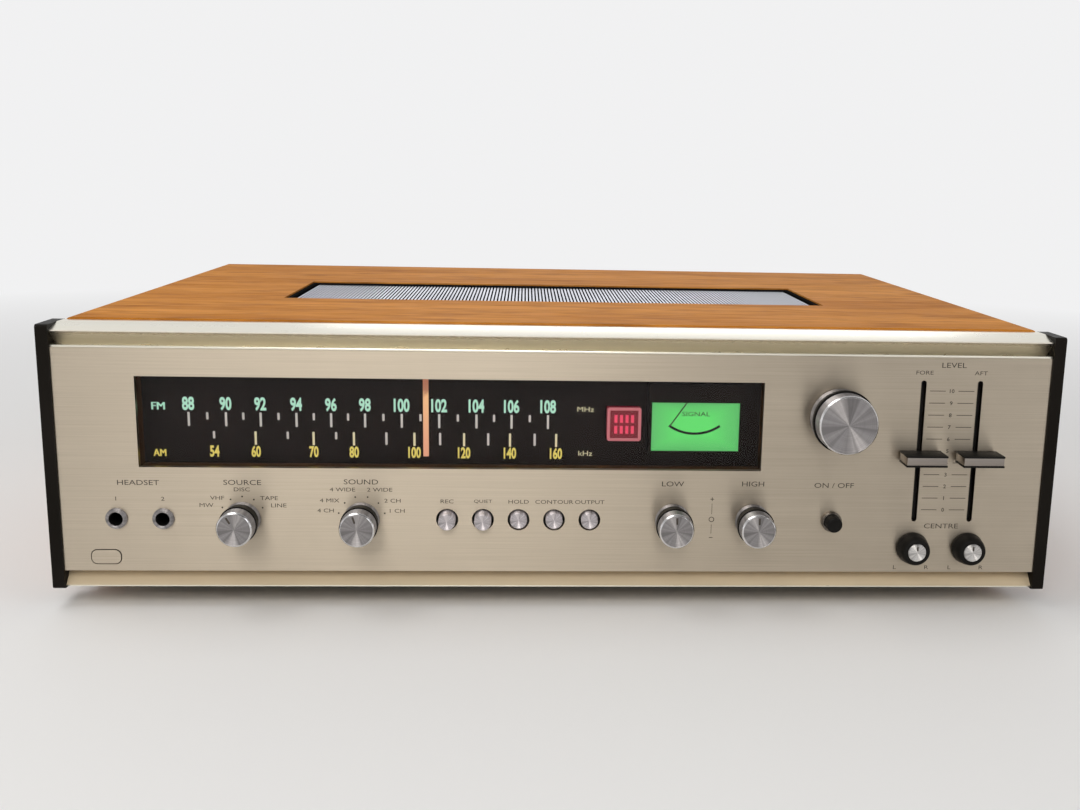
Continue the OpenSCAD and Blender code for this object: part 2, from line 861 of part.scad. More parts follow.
module treble_knob() {
    round_body(treble_x, 0);
}

module treble_knob_cap() {
    round_cap(treble_x, 0);
}

module tuning_knob() {
    shaft_l = knob_back - tuning_front - 3;
    color("black") in_frame() translate([tuning_x, 0, tuning_z]) {
        turned_body(tuning_r, tuning_ring_l, tuning_band_l, tuning_cap_l, shaft_l);
    }
}

module tuning_knob_cap() {
    color("silver") in_frame() translate([tuning_x, 0, tuning_z]) {
        turned_cap(tuning_r, tuning_ring_l, tuning_band_l, tuning_cap_l);
    }
}

// Balance knobs: a tapered black body with a bright insert
insert_t = 1.6;
insert_depth = 1.2;

module balance_body(x) {
    face_y = knob_back - balance_l;
    shaft_y = face_y + insert_depth + 1.5;
    color("black") in_frame() translate([x, 0, balance_z]) {
        difference() {
            cone(balance_front_r, balance_r, face_y, knob_back);
            rod(insert_r, face_y - 1, face_y + insert_depth);
            rod(shaft_r + run_gap, shaft_y, knob_back + 1);
        }
        rod(shaft_r, shaft_y + 0.3, shaft_end);
    }
}

module balance_insert(x) {
    seat_y = knob_back - balance_l + insert_depth;
    color("silver") in_frame() translate([x, 0, balance_z]) difference() {
        rod(insert_r, seat_y - insert_t, seat_y);
        box([-mark_w / 2, seat_y - insert_t - 1, 1], [mark_w / 2, seat_y - insert_t + mark_t, insert_r + 1]);
    }
}

module front_balance_knob() {
    balance_body(slider_xs[0]);
}

module front_balance_insert() {
    balance_insert(slider_xs[0]);
}

module rear_balance_knob() {
    balance_body(slider_xs[1]);
}

module rear_balance_insert() {
    balance_insert(slider_xs[1]);
}

// Volume sliders: a bar with a flat stem through the panel slot
module volume_slider(x) {
    bar_back = panel_front - knob_gap - 1;
    band_inset = 0.3;
    bar_plate_t = 0.9;
    color("black") in_frame() translate([x, 0, slider_z]) {
        box([-slider_w / 2 + band_inset, panel_front - slider_out + band_inset, -slider_h / 2],
            [slider_w / 2 - band_inset, bar_back, slider_h / 2]);
        for (z = [-slider_h / 2, slider_h / 2 - bar_plate_t]) {
            box([-slider_w / 2, panel_front - slider_out, z], [slider_w / 2, bar_back, z + bar_plate_t]);
        }
        box([-stem_w / 2, bar_back - 1, -stem_h / 2], [stem_w / 2, stem_end, stem_h / 2]);
    }
}

module front_volume_slider() {
    volume_slider(slider_xs[0]);
}

module rear_volume_slider() {
    volume_slider(slider_xs[1]);
}

// Push buttons
module push_button(i) {
    front = panel_front - (i < buttons_out ? button_out : button_in);
    color("silver") in_frame() translate([button_xs[i], 0, row_z]) {
        cone(button_r - button_bevel, button_r, front, front + button_bevel);
        rod(button_r, front + button_bevel, front + button_l);
        rod(plunger_r, front + button_l - 1, plunger_end);
    }
}

module push_button_1() {
    push_button(0);
}

module push_button_2() {
    push_button(1);
}

module push_button_3() {
    push_button(2);
}

module push_button_4() {
    push_button(3);
}

module push_button_5() {
    push_button(4);
}

module power_button() {
    front = panel_front - power_out;
    color("black") in_frame() translate([power_x, 0, row_z]) {
        rod(power_r, front, panel_back + 4);
        rod(plunger_r, panel_back + 3, plunger_end);
    }
}

// Nuts of the phone jacks, and the collar of the power button
jack_nut_t = 1.8;
collar_t = 2.2;
collar_wall = 0.9;

module panel_bushes() {
    color("silver") in_frame() {
        for (x = jack_xs) translate([x, 0, row_z]) {
            tube(jack_nut_r, jack_bush_r + run_gap, panel_front - jack_nut_t, panel_front);
        }
        translate([power_x, 0, row_z]) {
            tube(power_r + slide_gap + collar_wall, power_r + slide_gap, panel_front - collar_t, panel_front);
        }
    }
}

module phone_jacks() {
    jack_front = panel_front - jack_nut_t;
    color("dimgray") in_frame() for (x = jack_xs) translate([x, 0, row_z]) difference() {
        union() {
            rod(jack_bush_r, jack_front, panel_back);
            box([-jack_body_half, panel_back, -jack_body_half],
                [jack_body_half, jack_front + jack_l + 2, jack_body_half]);
        }
        rod(jack_r, jack_front - 1, jack_front + jack_l);
    }
}

// Bodies of the rotary controls
module rotary_control(x, z, l) {
    translate([x, 0, z]) difference() {
        union() {
            rod(control_r, sub_back, sub_back + l);
            rod(bush_r, sub_y - bush_l, sub_back + 1);
        }
        rod(shaft_r + run_gap, sub_y - bush_l - 1, shaft_end + 2);
    }
}

module panel_potentiometers() {
    stem_groove_w = stem_w + 2 * slide_gap;
    pot_front = panel_back + pot_gap;
    pot_half = 4.5;
    color("slategray") in_frame() {
        for (x = round_xs) rotary_control(x, row_z, pot_l);
        for (x = slider_xs) rotary_control(x, balance_z, pot_l);
        for (x = slider_xs) translate([x, 0, slot_z0]) difference() {
            box([-pot_half, pot_front, -2], [pot_half, sub_y, slot_h + 2]);
            box([-stem_groove_w / 2, pot_front - 1, 0], [stem_groove_w / 2, stem_end + slide_gap, slot_h]);
        }
    }
}

module plunger_bore(x) {
    translate([x, 0, row_z]) rod(plunger_r + slide_gap, sub_y, plunger_bore_end);
}

module panel_switches() {
    bank_edge = 7;
    bank_half = 7;
    color("slategray") in_frame() {
        for (x = switch_xs) rotary_control(x, row_z, switch_l);
        difference() {
            box([button_x - bank_edge, sub_back, row_z - bank_half],
                [button_xs[button_count - 1] + bank_edge, sub_back + switch_depth, row_z + bank_half]);
            for (x = button_xs) plunger_bore(x);
        }
        difference() {
            box([power_x - bank_edge, sub_back, row_z - bank_half],
                [power_x + bank_edge, sub_back + switch_depth, row_z + bank_half]);
            plunger_bore(power_x);
        }
    }
}

// Meter
module meter_case() {
    case_half = meter_w / 2 + meter_wall;
    pocket_half = needle_l * sin(needle_angle) + 3;
    color("darkslategray") in_frame() translate([meter_x, 0, 0]) {
        difference() {
            box([-case_half, meter_y, meter_z0 - meter_wall], [case_half, housing_back, meter_case_z1]);
            box([-meter_w / 2, meter_y - 1, meter_z0], [meter_w / 2, meter_floor, meter_z1]);
            box([-pocket_half, meter_y + 1, meter_z0], [pocket_half, meter_floor, meter_case_z1 - 0.6]);
        }
        translate([0, 0, pivot_z]) rod(pivot_r, meter_y + 0.5, meter_floor + 1);
    }
}

module meter_needle() {
    needle_t = 0.5;
    needle_w = 0.5;
    hub_r = 2;
    color("black") in_frame() translate([meter_x, 0, pivot_z]) rotate([0, needle_angle, 0]) difference() {
        union() {
            rod(hub_r, needle_y - needle_t / 2, needle_y + needle_t / 2);
            box([-needle_w / 2, needle_y - needle_t / 2, -needle_l],
                [needle_w / 2, needle_y + needle_t / 2, 0]);
        }
        rod(pivot_r + run_gap, needle_y - 1, needle_y + 1);
    }
}

module indicator_lens() {
    color("crimson") in_frame() {
        plate(lens_y, housing_back) translate([lens_x - lens_w / 2, lens_z - lens_w / 2]) {
            round_rect([lens_w, lens_w], 2);
        }
    }
}

// Chassis
module sub_panel() {
    bearing_r = 6;
    bearing_l = 9;
    tab_x = idler_x + flange_r(idler_r);
    plunger_room = 1;
    jack_half = jack_body_half + seat_gap;
    past = 1;
    color("silver") in_frame() {
        difference() {
            union() {
                plate(sub_y, sub_back) {
                    translate([-chassis_half, pan_top]) square([2 * chassis_half, scale_top - pan_top]);
                    translate([-chassis_half, pan_top]) {
                        square([chassis_half + tab_x, cord_top_z - pan_top]);
                    }
                }
                translate([tuning_x, 0, tuning_z]) rod(bearing_r, sub_y - bearing_l, sub_back);
            }
            for (x = concat(round_xs, switch_xs)) {
                translate([x, 0, row_z]) rod(bush_r + run_gap, sub_y - past, sub_back + past);
            }
            for (x = slider_xs) {
                translate([x, 0, balance_z]) rod(bush_r + run_gap, sub_y - past, sub_back + past);
            }
            for (x = concat(button_xs, [power_x])) {
                translate([x, 0, row_z]) rod(plunger_r + plunger_room, sub_y - past, sub_back + past);
            }
            translate([tuning_x, 0, tuning_z]) rod(shaft_r + run_gap, 0, sub_back + past);
            for (x = jack_xs) {
                box([x - jack_half, sub_y - past, row_z - jack_half],
                    [x + jack_half, sub_back + past, row_z + jack_half]);
            }
        }
        for (z = [upper_idler_z, lower_idler_z]) {
            translate([idler_x, 0, z]) rod(stud_r, sub_back, drum_y1);
            translate([idler_x, 0, z]) rod(stud_r + 1, sub_back, drum_y0 - slide_gap);
        }
    }
}

module chassis_pan() {
    color("silver") in_frame() difference() {
        union() {
            box([-chassis_half, sub_y, pan_z], [chassis_half, rear_face, pan_top]);
            for (side = [0, 1]) mirror([side, 0, 0]) {
                box([chassis_half - sheet_t, sub_back, pan_z],
                    [chassis_half, rear_front, pan_top + flange_h]);
            }
        }
        for (p = foot_places()) translate([p[0], p[1], 0]) cylinder(r = screw_r + run_gap, h = pan_top + 1);
        for (y = screw_ys()) translate([-half_w, y, screw_z()]) rotate([0, 90, 0]) {
            cylinder(r = screw_r + run_gap, h = overall_w);
        }
    }
}

module rear_panel() {
    color("dimgray") in_frame() difference() {
        box([-chassis_half, rear_front, pan_top], [chassis_half, rear_face, rear_top]);
        translate([gland_x, 0, gland_z]) rod(gland_r, rear_front - 1, rear_face + 1);
    }
}

// Inside
wall_room = 14;
board_room = 10;
transformer_x0 = -foot_x + screw_head_r + 6;
transformer_x1 = transformer_x0 + transformer_w;
inner_rear_y = rear_front - wall_room;

module power_transformer() {
    x0 = transformer_x0;
    x1 = transformer_x1;
    y1 = inner_rear_y;
    coil_d = 20;
    coil_lift = 3;
    coil_inset = 8;
    color("saddlebrown") in_frame() {
        box([x0, y1 - transformer_d + coil_d, pan_top], [x1, y1 - coil_d, pan_top + transformer_h]);
        box([x0 + coil_inset, y1 - transformer_d, pan_top + coil_lift],
            [x1 - coil_inset, y1, pan_top + transformer_h - coil_inset]);
    }
}

module filter_capacitors() {
    x0 = -chassis_half + wall_room + filter_r;
    pitch = 2 * filter_r + 6;
    color("steelblue") in_frame() for (i = [0, 1]) {
        translate([x0 + i * pitch, filter_y, pan_top]) cylinder(r = filter_r, h = filter_h);
    }
}

sink_y = 196;
filter_y = 139;
tuner_y = 92;
sink_base_t = 5;
sink_lift = 22;

module heat_sink() {
    leg_w = 10;
    can_r = 10;
    can_t = 7;
    can_count = 8;
    fin_t = 2;
    fin_step = (sink_w - fin_t) / (fin_count - 1);
    can_step = sink_w / can_count;
    z0 = pan_top + sink_lift;
    color("gray") in_frame() {
        box([-sink_w / 2, sink_y, z0], [sink_w / 2, sink_y + sink_base_t, z0 + sink_h]);
        for (i = [0 : fin_count - 1]) {
            translate([-sink_w / 2 + i * fin_step, sink_y - fin_d, z0]) cube([fin_t, fin_d, sink_h]);
        }
        for (x = [-sink_w / 2, sink_w / 2 - leg_w]) {
            box([x, sink_y, pan_top], [x + leg_w, sink_y + sink_base_t, z0]);
        }
        for (i = [0 : can_count - 1]) {
            translate([-sink_w / 2 + (i + 0.5) * can_step, 0, z0 + sink_h / 2]) {
                rod(can_r, sink_y + sink_base_t + run_gap, sink_y + sink_base_t + run_gap + can_t);
            }
        }
    }
}

// One circuit board on four posts, with a row of parts
module board_on_posts(x0, x1, y0, y1) {
    z0 = pan_top + pcb_rise;
    post_r = 3;
    post_in = 5;
    part_r = 5;
    part_h = 16;
    part_in = 2 * part_r;
    part_gaps = 5;
    part_step = (x1 - x0 - 2 * part_in) / part_gaps;
    box([x0, y0, z0], [x1, y1, z0 + pcb_t]);
    for (x = [x0 + post_in, x1 - post_in], y = [y0 + post_in, y1 - post_in]) {
        translate([x, y, pan_top]) cylinder(r = post_r, h = pcb_rise);
    }
    for (i = [0 : part_gaps]) {
        translate([x0 + part_in + i * part_step, (y0 + y1) / 2, z0 + pcb_t]) cylinder(r = part_r, h = part_h);
    }
}

module circuit_boards() {
    color("darkolivegreen") in_frame() {
        board_on_posts(-sink_w / 2, sink_w / 2, tuner_y, sink_y - fin_d - board_room / 2);
        board_on_posts(sink_w / 2 + board_room, chassis_half - board_room, tuner_y, inner_rear_y);
        board_on_posts(transformer_x1 + board_room, sink_w / 2, sink_y + 2 * board_room, inner_rear_y);
    }
}

// Rear fittings
gland_edge = 64.3;
gland_x = -chassis_half + gland_edge;
gland_z = 28;
gland_r = 3.4;
phono_x0 = gland_x + board_room + phono_columns * phono_pitch;
phono_z0 = 52;
phono_rows = 2;
phono_row_pitch = phono_pitch + 4;
phono_bore_r = 1.65;
phono_base_r = 6;
phono_base_t = 1.5;

module phono_sockets() {
    color("silver") in_frame() for (i = [0 : phono_columns - 1], j = [0 : phono_rows - 1]) {
        translate([phono_x0 - i * phono_pitch, 0, phono_z0 + j * phono_row_pitch]) difference() {
            union() {
                rod(phono_base_r, rear_face, rear_face + phono_base_t);
                rod(phono_r, rear_face, rear_face + phono_l);
            }
            rod(phono_bore_r, rear_face + phono_base_t, rear_face + phono_l + 1);
        }
    }
}

module wire_terminals() {
    block_x = phono_x0 + 2 * phono_pitch;
    block_z = 44;
    block_w = 62;
    block_h = 16;
    block_d = 8;
    block_gap = 9;
    strip_z = 22;
    strip_h = 12;
    strip_t = 5;
    post_r = 3.5;
    post_l = 4;
    post_count = 4;
    post_pitch = block_w / post_count;
    color("firebrick") in_frame() {
        for (i = [0, 1], j = [0, 1]) {
            translate([block_x + i * (block_w + block_gap), rear_face, block_z + j * (block_h + block_gap)]) {
                cube([block_w, block_d, block_h]);
            }
        }
        translate([block_x, rear_face, strip_z]) cube([block_w, strip_t, strip_h]);
        for (i = [0 : post_count - 1]) {
            translate([block_x + (i + 0.5) * post_pitch, 0, strip_z + strip_h / 2]) {
                rod(post_r, rear_face + strip_t, rear_face + strip_t + post_l);
            }
        }
    }
}

module mains_fittings() {
    outlet_edge = 20;
    outlet_x = -chassis_half + outlet_edge;
    outlet_z = 40;
    outlet_w = 30;
    outlet_h = 24;
    outlet_t = 6;
    outlet_gap = 8;
    blade_off = 6;
    blade_w = 1.8;
    blade_h = 8;
    blade_floor = 1;
    fuse_rise = 24;
    fuse_r = 7;
    fuse_l = 10;
    gland_wall = 2.6;
    gland_l = 5;
    color("black") in_frame() {
        for (i = [0, 1]) {
            translate([outlet_x, rear_face, outlet_z + i * (outlet_h + outlet_gap)]) difference() {
                cube([outlet_w, outlet_t, outlet_h]);
                for (x = [-blade_off, blade_off]) {
                    translate([outlet_w / 2 + x - blade_w / 2, blade_floor, (outlet_h - blade_h) / 2]) {
                        cube([blade_w, outlet_t, blade_h]);
                    }
                }
            }
        }
        translate([gland_x, 0, gland_z + fuse_rise]) rod(fuse_r, rear_face, rear_face + fuse_l);
        translate([gland_x, 0, gland_z]) tube(gland_r + gland_wall, gland_r, rear_face, rear_face + gland_l);
    }
}

module aerial_bar() {
    bar_x = 20;
    bar_drop = 10;
    bar_gap = 1;
    clip_w = 8;
    bar_z = rear_top - bar_drop;
    bar_y = rear_face + bar_gap + aerial_r;
    color("dimgray") in_frame() {
        translate([bar_x - aerial_l / 2, bar_y, bar_z]) rotate([0, 90, 0]) {
            cylinder(r = aerial_r, h = aerial_l);
        }
        for (x = [bar_x - aerial_l / 3, bar_x + aerial_l / 3]) {
            box([x - clip_w / 2, rear_face, bar_z - aerial_r], [x + clip_w / 2, bar_y, bar_z + aerial_r]);
        }
    }
}

cabinet_top();
cabinet_sides();
vent_frame();
vent_grille();
front_panel();
trim_rails();
end_caps();
rubber_feet();
case_screws();
dial_window();
dial_housing();
dial_scale_plate();
dial_pointer();
pilot_lamps();
dial_cords();
upper_idler_pulley();
lower_idler_pulley();
tuning_shaft();
tuning_knob();
tuning_knob_cap();
cord_drum();
tuning_capacitor();
meter_case();
meter_needle();
indicator_lens();
selector_knob();
selector_knob_cap();
mode_knob();
mode_knob_cap();
bass_knob();
bass_knob_cap();
treble_knob();
treble_knob_cap();
front_balance_knob();
front_balance_insert();
rear_balance_knob();
rear_balance_insert();
front_volume_slider();
rear_volume_slider();
push_button_1();
push_button_2();
push_button_3();
push_button_4();
push_button_5();
power_button();
panel_bushes();
phone_jacks();
panel_potentiometers();
panel_switches();
sub_panel();
chassis_pan();
rear_panel();
power_transformer();
filter_capacitors();
heat_sink();
circuit_boards();
phono_sockets();
wire_terminals();
mains_fittings();
aerial_bar();
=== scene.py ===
"""Looks of a four channel radio receiver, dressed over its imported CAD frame.

Metres in the CAD's own frame: +Z up, the front faces -Y and the feet stand on Z = 0.
Sizes of pieces are given in millimetres from the front plane of the end caps.
"""

import logging
import math
from dataclasses import dataclass, field
from enum import Enum
from functools import cache
from typing import Any, Iterable, Sequence

import bmesh
import bpy
from mathutils import Matrix, Vector


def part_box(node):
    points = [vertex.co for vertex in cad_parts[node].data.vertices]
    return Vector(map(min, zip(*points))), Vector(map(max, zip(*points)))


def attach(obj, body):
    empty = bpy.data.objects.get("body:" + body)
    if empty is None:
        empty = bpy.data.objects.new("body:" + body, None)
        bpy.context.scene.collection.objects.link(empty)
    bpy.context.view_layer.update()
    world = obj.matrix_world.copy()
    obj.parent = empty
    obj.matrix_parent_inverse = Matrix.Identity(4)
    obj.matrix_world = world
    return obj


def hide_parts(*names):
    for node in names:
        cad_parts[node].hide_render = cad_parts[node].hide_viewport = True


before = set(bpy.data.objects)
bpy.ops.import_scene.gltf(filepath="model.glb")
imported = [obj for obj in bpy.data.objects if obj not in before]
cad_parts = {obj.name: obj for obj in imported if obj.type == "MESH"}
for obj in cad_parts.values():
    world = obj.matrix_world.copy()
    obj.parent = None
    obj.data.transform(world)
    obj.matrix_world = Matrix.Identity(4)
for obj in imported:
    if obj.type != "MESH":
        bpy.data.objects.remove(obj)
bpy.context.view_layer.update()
LOG = logging.getLogger("receiver")
MM = 0.001
FRONT_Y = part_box("end_caps")[0].y
SHARP_ANGLE = math.radians(32.0)
UV_PER_MM = 0.02
PRINT_DEPTH = 0.06

Colour = tuple[float, float, float, float]
Point = tuple[float, float]
Triple = tuple[float, float, float]


def place(x: float, y: float, z: float) -> Vector:
    """Gives the point in the frame for millimetres from the front plane of the end caps.

    Args:
        x: Millimetres to the right of the middle.
        y: Millimetres behind the front plane of the end caps.
        z: Millimetres above the floor.

    Returns:
        The point in metres.
    """
    return Vector((x * MM, FRONT_Y + y * MM, z * MM))


@dataclass(frozen=True)
class Extent:
    """Box of a CAD node in millimetres, its depth taken from the front plane of the end caps."""

    left: float
    right: float
    front: float
    back: float
    bottom: float
    top: float

    @classmethod
    def of(cls, node: str) -> "Extent":
        """Gives the box of a CAD node.

        Args:
            node: Name of the CAD node.

        Returns:
            Its box.
        """
        low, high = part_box(node)
        front, back = (low.y - FRONT_Y) / MM, (high.y - FRONT_Y) / MM
        return cls(low.x / MM, high.x / MM, front, back, low.z / MM, high.z / MM)

    @property
    def x(self) -> float:
        """Gives the middle across."""
        return (self.left + self.right) / 2

    @property
    def z(self) -> float:
        """Gives the middle in height."""
        return (self.bottom + self.top) / 2


class Weave:
    """Makes and links the nodes of one node tree."""

    def __init__(self, tree: bpy.types.NodeTree) -> None:
        """Keeps the tree that the nodes go into."""
        self.tree = tree

    def feed(self, socket: bpy.types.NodeSocket, value: Any) -> None:
        """Links a socket to another one, or sets its value.

        Args:
            socket: Input socket.
            value: Output socket to link, or a plain value.
        """
        if isinstance(value, bpy.types.NodeSocket):
            self.tree.links.new(value, socket)
        else:
            socket.default_value = value

    def add(self, kind: str, values: dict[Any, Any] | None = None, **settings: Any) -> bpy.types.Node:
        """Adds a node.

        Args:
            kind: Blender's name of the node type.
            values: Inputs by name or number, each a value or a socket to link.
            **settings: Attributes of the node, set before its inputs.

        Returns:
            The new node.
        """
        node = self.tree.nodes.new(kind)
        for name, setting in settings.items():
            setattr(node, name, setting)
        for name, value in (values or {}).items():
            self.feed(node.inputs[name], value)
        return node

    def math(self, operation: str, first: Any, second: Any = 0.0) -> bpy.types.NodeSocket:
        """Gives the result of a sum on two values."""
        return self.add("ShaderNodeMath", {0: first, 1: second}, operation=operation).outputs[0]

    def blend(self, share: Any, first: Any, second: Any) -> bpy.types.NodeSocket:
        """Gives a colour between two colours."""
        return self.add("ShaderNodeMix", {0: share, 6: first, 7: second}, data_type="RGBA").outputs[2]

    def ramp(self, value: Any, low: Any, high: Any, start: Any = 0.0, end: Any = 1.0) -> bpy.types.NodeSocket:
        """Gives a value carried from one range to another, held at its ends."""
        values = {0: value, 1: low, 2: high, 3: start, 4: end}
        return self.add("ShaderNodeMapRange", values).outputs[0]

    def noise(self, vector: Any, scale: Any, detail: float = 2.0) -> bpy.types.NodeSocket:
        """Gives smooth noise between 0 and 1."""
        values = {"Vector": vector, "Scale": scale, "Detail": detail}
        return self.add("ShaderNodeTexNoise", values).outputs[0]

    def vector(self, operation: str, first: Any, second: Any) -> bpy.types.NodeSocket:
        """Gives the result of a sum on two vectors."""
        return self.add("ShaderNodeVectorMath", {0: first, 1: second}, operation=operation).outputs[0]

    def stretch(self, vector: Any, scale: Any) -> bpy.types.NodeSocket:
        """Gives a vector stretched along each axis."""
        return self.vector("MULTIPLY", vector, scale)

    def parts(self, vector: Any) -> Any:
        """Gives the three parts of a vector."""
        return self.add("ShaderNodeSeparateXYZ", {0: vector}).outputs


class Kind(Enum):
    """Socket types of a shader node group."""

    VALUE = "NodeSocketFloat"
    COLOUR = "NodeSocketColor"
    VECTOR = "NodeSocketVector"


class SharedEffect:
    """Shader node groups that several finishes share, each made once."""

    outputs = {"Color": Kind.COLOUR, "Roughness": Kind.VALUE, "Height": Kind.VALUE}

    @classmethod
    def start(cls, name: str, inputs: dict[str, Kind]) -> tuple[Weave, Any, Any]:
        """Starts a shader node group that gives a colour, a roughness and a height.

        Args:
            name: Name of the group.
            inputs: Its inputs by name.

        Returns:
            The weave of the group, its inputs and its outputs.
        """
        tree = bpy.data.node_groups.new(name, "ShaderNodeTree")
        for way, sockets in (("INPUT", inputs), ("OUTPUT", cls.outputs)):
            for label, kind in sockets.items():
                tree.interface.new_socket(label, in_out=way, socket_type=kind.value)
        weave = Weave(tree)
        return weave, weave.add("NodeGroupInput").outputs, weave.add("NodeGroupOutput").inputs

    @classmethod
    @cache
    def handling(cls) -> bpy.types.NodeTree:
        """Gives the group for smudges, dust and uneven gloss.

        Returns:
            The node group.
        """
        weave, given, out = cls.start("handling marks", {
            "Vector": Kind.VECTOR, "Color": Kind.COLOUR, "Shade": Kind.COLOUR, "Roughness": Kind.VALUE,
            "Scale": Kind.VALUE, "Amount": Kind.VALUE})
        broad = weave.noise(given["Vector"], given["Scale"], 4.0)
        fine = weave.noise(given["Vector"], weave.math("MULTIPLY", given["Scale"], 14.0), 3.0)
        cover = weave.math("MULTIPLY", weave.ramp(broad, 0.35, 0.75), given["Amount"])
        weave.feed(out["Color"], weave.blend(cover, given["Color"], given["Shade"]))
        change = weave.math("MULTIPLY", weave.math("SUBTRACT", fine, 0.5), given["Amount"])
        change = weave.math("MULTIPLY", change, 0.6)
        weave.feed(out["Roughness"], weave.math("ADD", given["Roughness"], change))
        weave.feed(out["Height"], fine)
        return weave.tree

    @classmethod
    @cache
    def brushing(cls) -> bpy.types.NodeTree:
        """Gives the group for the long fine lines of brushed or drawn metal.

        Returns:
            The node group.
        """
        weave, given, out = cls.start("brushed lines", {
            "Vector": Kind.VECTOR, "Lines": Kind.VECTOR, "Color": Kind.COLOUR, "Shade": Kind.COLOUR,
            "Roughness": Kind.VALUE, "Depth": Kind.VALUE})
        along = weave.stretch(given["Vector"], given["Lines"])
        fine = weave.noise(along, 1.0, 3.0)
        broad = weave.noise(along, 0.22, 2.0)
        lines = weave.math("ADD", weave.math("MULTIPLY", fine, 0.8), weave.math("MULTIPLY", broad, 0.2))
        cover = weave.math("MULTIPLY", weave.ramp(lines, 0.3, 0.7), given["Depth"])
        weave.feed(out["Color"], weave.blend(cover, given["Color"], given["Shade"]))
        change = weave.math("MULTIPLY", weave.math("SUBTRACT", lines, 0.5), given["Depth"])
        change = weave.math("MULTIPLY", change, 0.4)
        weave.feed(out["Roughness"], weave.math("ADD", given["Roughness"], change))
        weave.feed(out["Height"], lines)
        return weave.tree

    @classmethod
    @cache
    def grain(cls) -> bpy.types.NodeTree:
        """Gives the group for straight wood grain with pores, along X of its vector.

        Returns:
            The node group.
        """
        weave, given, out = cls.start("veneer grain", {
            "Vector": Kind.VECTOR, "Light": Kind.COLOUR, "Middle": Kind.COLOUR, "Dark": Kind.COLOUR})
        bend = weave.noise(weave.stretch(given["Vector"], (2.2, 9.0, 9.0)), 1.0, 2.0)
        shift = weave.add("ShaderNodeCombineXYZ", {1: weave.math("MULTIPLY", bend, 0.02)}).outputs[0]
        wavy = weave.vector("ADD", given["Vector"], shift)
        bands = weave.noise(weave.stretch(wavy, (4.5, 40.0, 40.0)), 1.0, 3.0)
        flecks = weave.noise(weave.stretch(wavy, (34.0, 120.0, 120.0)), 1.0, 4.0)
        streaks = weave.noise(weave.stretch(wavy, (14.0, 420.0, 420.0)), 1.0, 3.0)
        pores = weave.noise(weave.stretch(wavy, (70.0, 2300.0, 2300.0)), 1.0, 1.0)
        pore_cover = weave.ramp(pores, 0.60, 0.74, 0.0, 0.55)
        tone = weave.blend(weave.ramp(bands, 0.34, 0.68), given["Light"], given["Middle"])
        tone = weave.blend(weave.ramp(flecks, 0.48, 0.72, 0.0, 0.55), tone, given["Dark"])
        tone = weave.blend(weave.ramp(streaks, 0.50, 0.74, 0.0, 0.62), tone, given["Dark"])
        weave.feed(out["Color"], weave.blend(pore_cover, tone, given["Dark"]))
        weave.feed(out["Roughness"], weave.ramp(streaks, 0.2, 0.8, 0.5, 0.66))
        weave.feed(out["Height"], weave.math("SUBTRACT", streaks, pore_cover))
        return weave.tree


class Surface(Weave):
    """Makes the nodes of one material, round its Principled BSDF."""

    def __init__(self, name: str) -> None:
        """Starts a material.

        Args:
            name: Name of the material.
        """
        self.made = bpy.data.materials.new(name)
        self.made.use_nodes = True
        super().__init__(self.made.node_tree)
        self.shader = self.tree.nodes["Principled BSDF"]
        self.spot = self.add("ShaderNodeTexCoord").outputs["Object"]

    def give(self, values: dict[str, Any]) -> None:
        """Sets or links inputs of the shader by name."""
        for name, value in values.items():
            self.feed(self.shader.inputs[name], value)

    def effect(self, group: bpy.types.NodeTree, values: dict[str, Any]) -> Any:
        """Places a shared effect in the material and gives its outputs."""
        return self.add("ShaderNodeGroup", values, node_tree=group).outputs

    def handled(self, colour: Any, shade: Colour, roughness: Any, scale: float, amount: float) -> Any:
        """Lays handling marks over a colour and gives the shader its colour and roughness.

        Args:
            colour: Colour below the marks.
            shade: Colour of the marks.
            roughness: Roughness below the marks.
            scale: Scale of the marks' noise.
            amount: Strength of the marks.

        Returns:
            The outputs of the group.
        """
        marks = self.effect(SharedEffect.handling(), {
            "Vector": self.spot, "Color": colour, "Shade": shade, "Roughness": roughness, "Scale": scale,
            "Amount": amount})
        self.give({"Base Color": marks["Color"], "Roughness": marks["Roughness"]})
        return marks

    def with_painted_top(self, colour: Colour, painted_top: Colour | None) -> Any:
        """Gives one colour, or another one painted on faces that look up, as painted light on the tops.

        Args:
            colour: Colour of the other faces.
            painted_top: Colour of the faces that look up, or none.

        Returns:
            The colour, or the socket that gives it.
        """
        if painted_top is None:
            return colour
        facing = self.parts(self.add("ShaderNodeNewGeometry").outputs["Normal"])[2]
        return self.blend(self.ramp(facing, 0.25, 0.8), colour, painted_top)

    def relief(self, height: Any, strength: float, distance: float) -> None:
        """Gives the shader a bump."""
        values = {"Strength": strength, "Distance": distance, "Height": height}
        self.give({"Normal": self.add("ShaderNodeBump", values).outputs[0]})


@dataclass(frozen=True)
class Finish:
    """A procedural material; each kind of finish says how its nodes are made."""

    name: str

    @cache
    def material(self) -> bpy.types.Material:
        """Gives the finish as a material, made on first use.

        Returns:
            The material.
        """
        surface = Surface(self.name)
        self.dress(surface)
        return surface.made

    def dress(self, surface: Surface) -> None:
        """Makes the nodes of the finish.

        Args:
            surface: Nodes of its material.
        """
        raise NotImplementedError


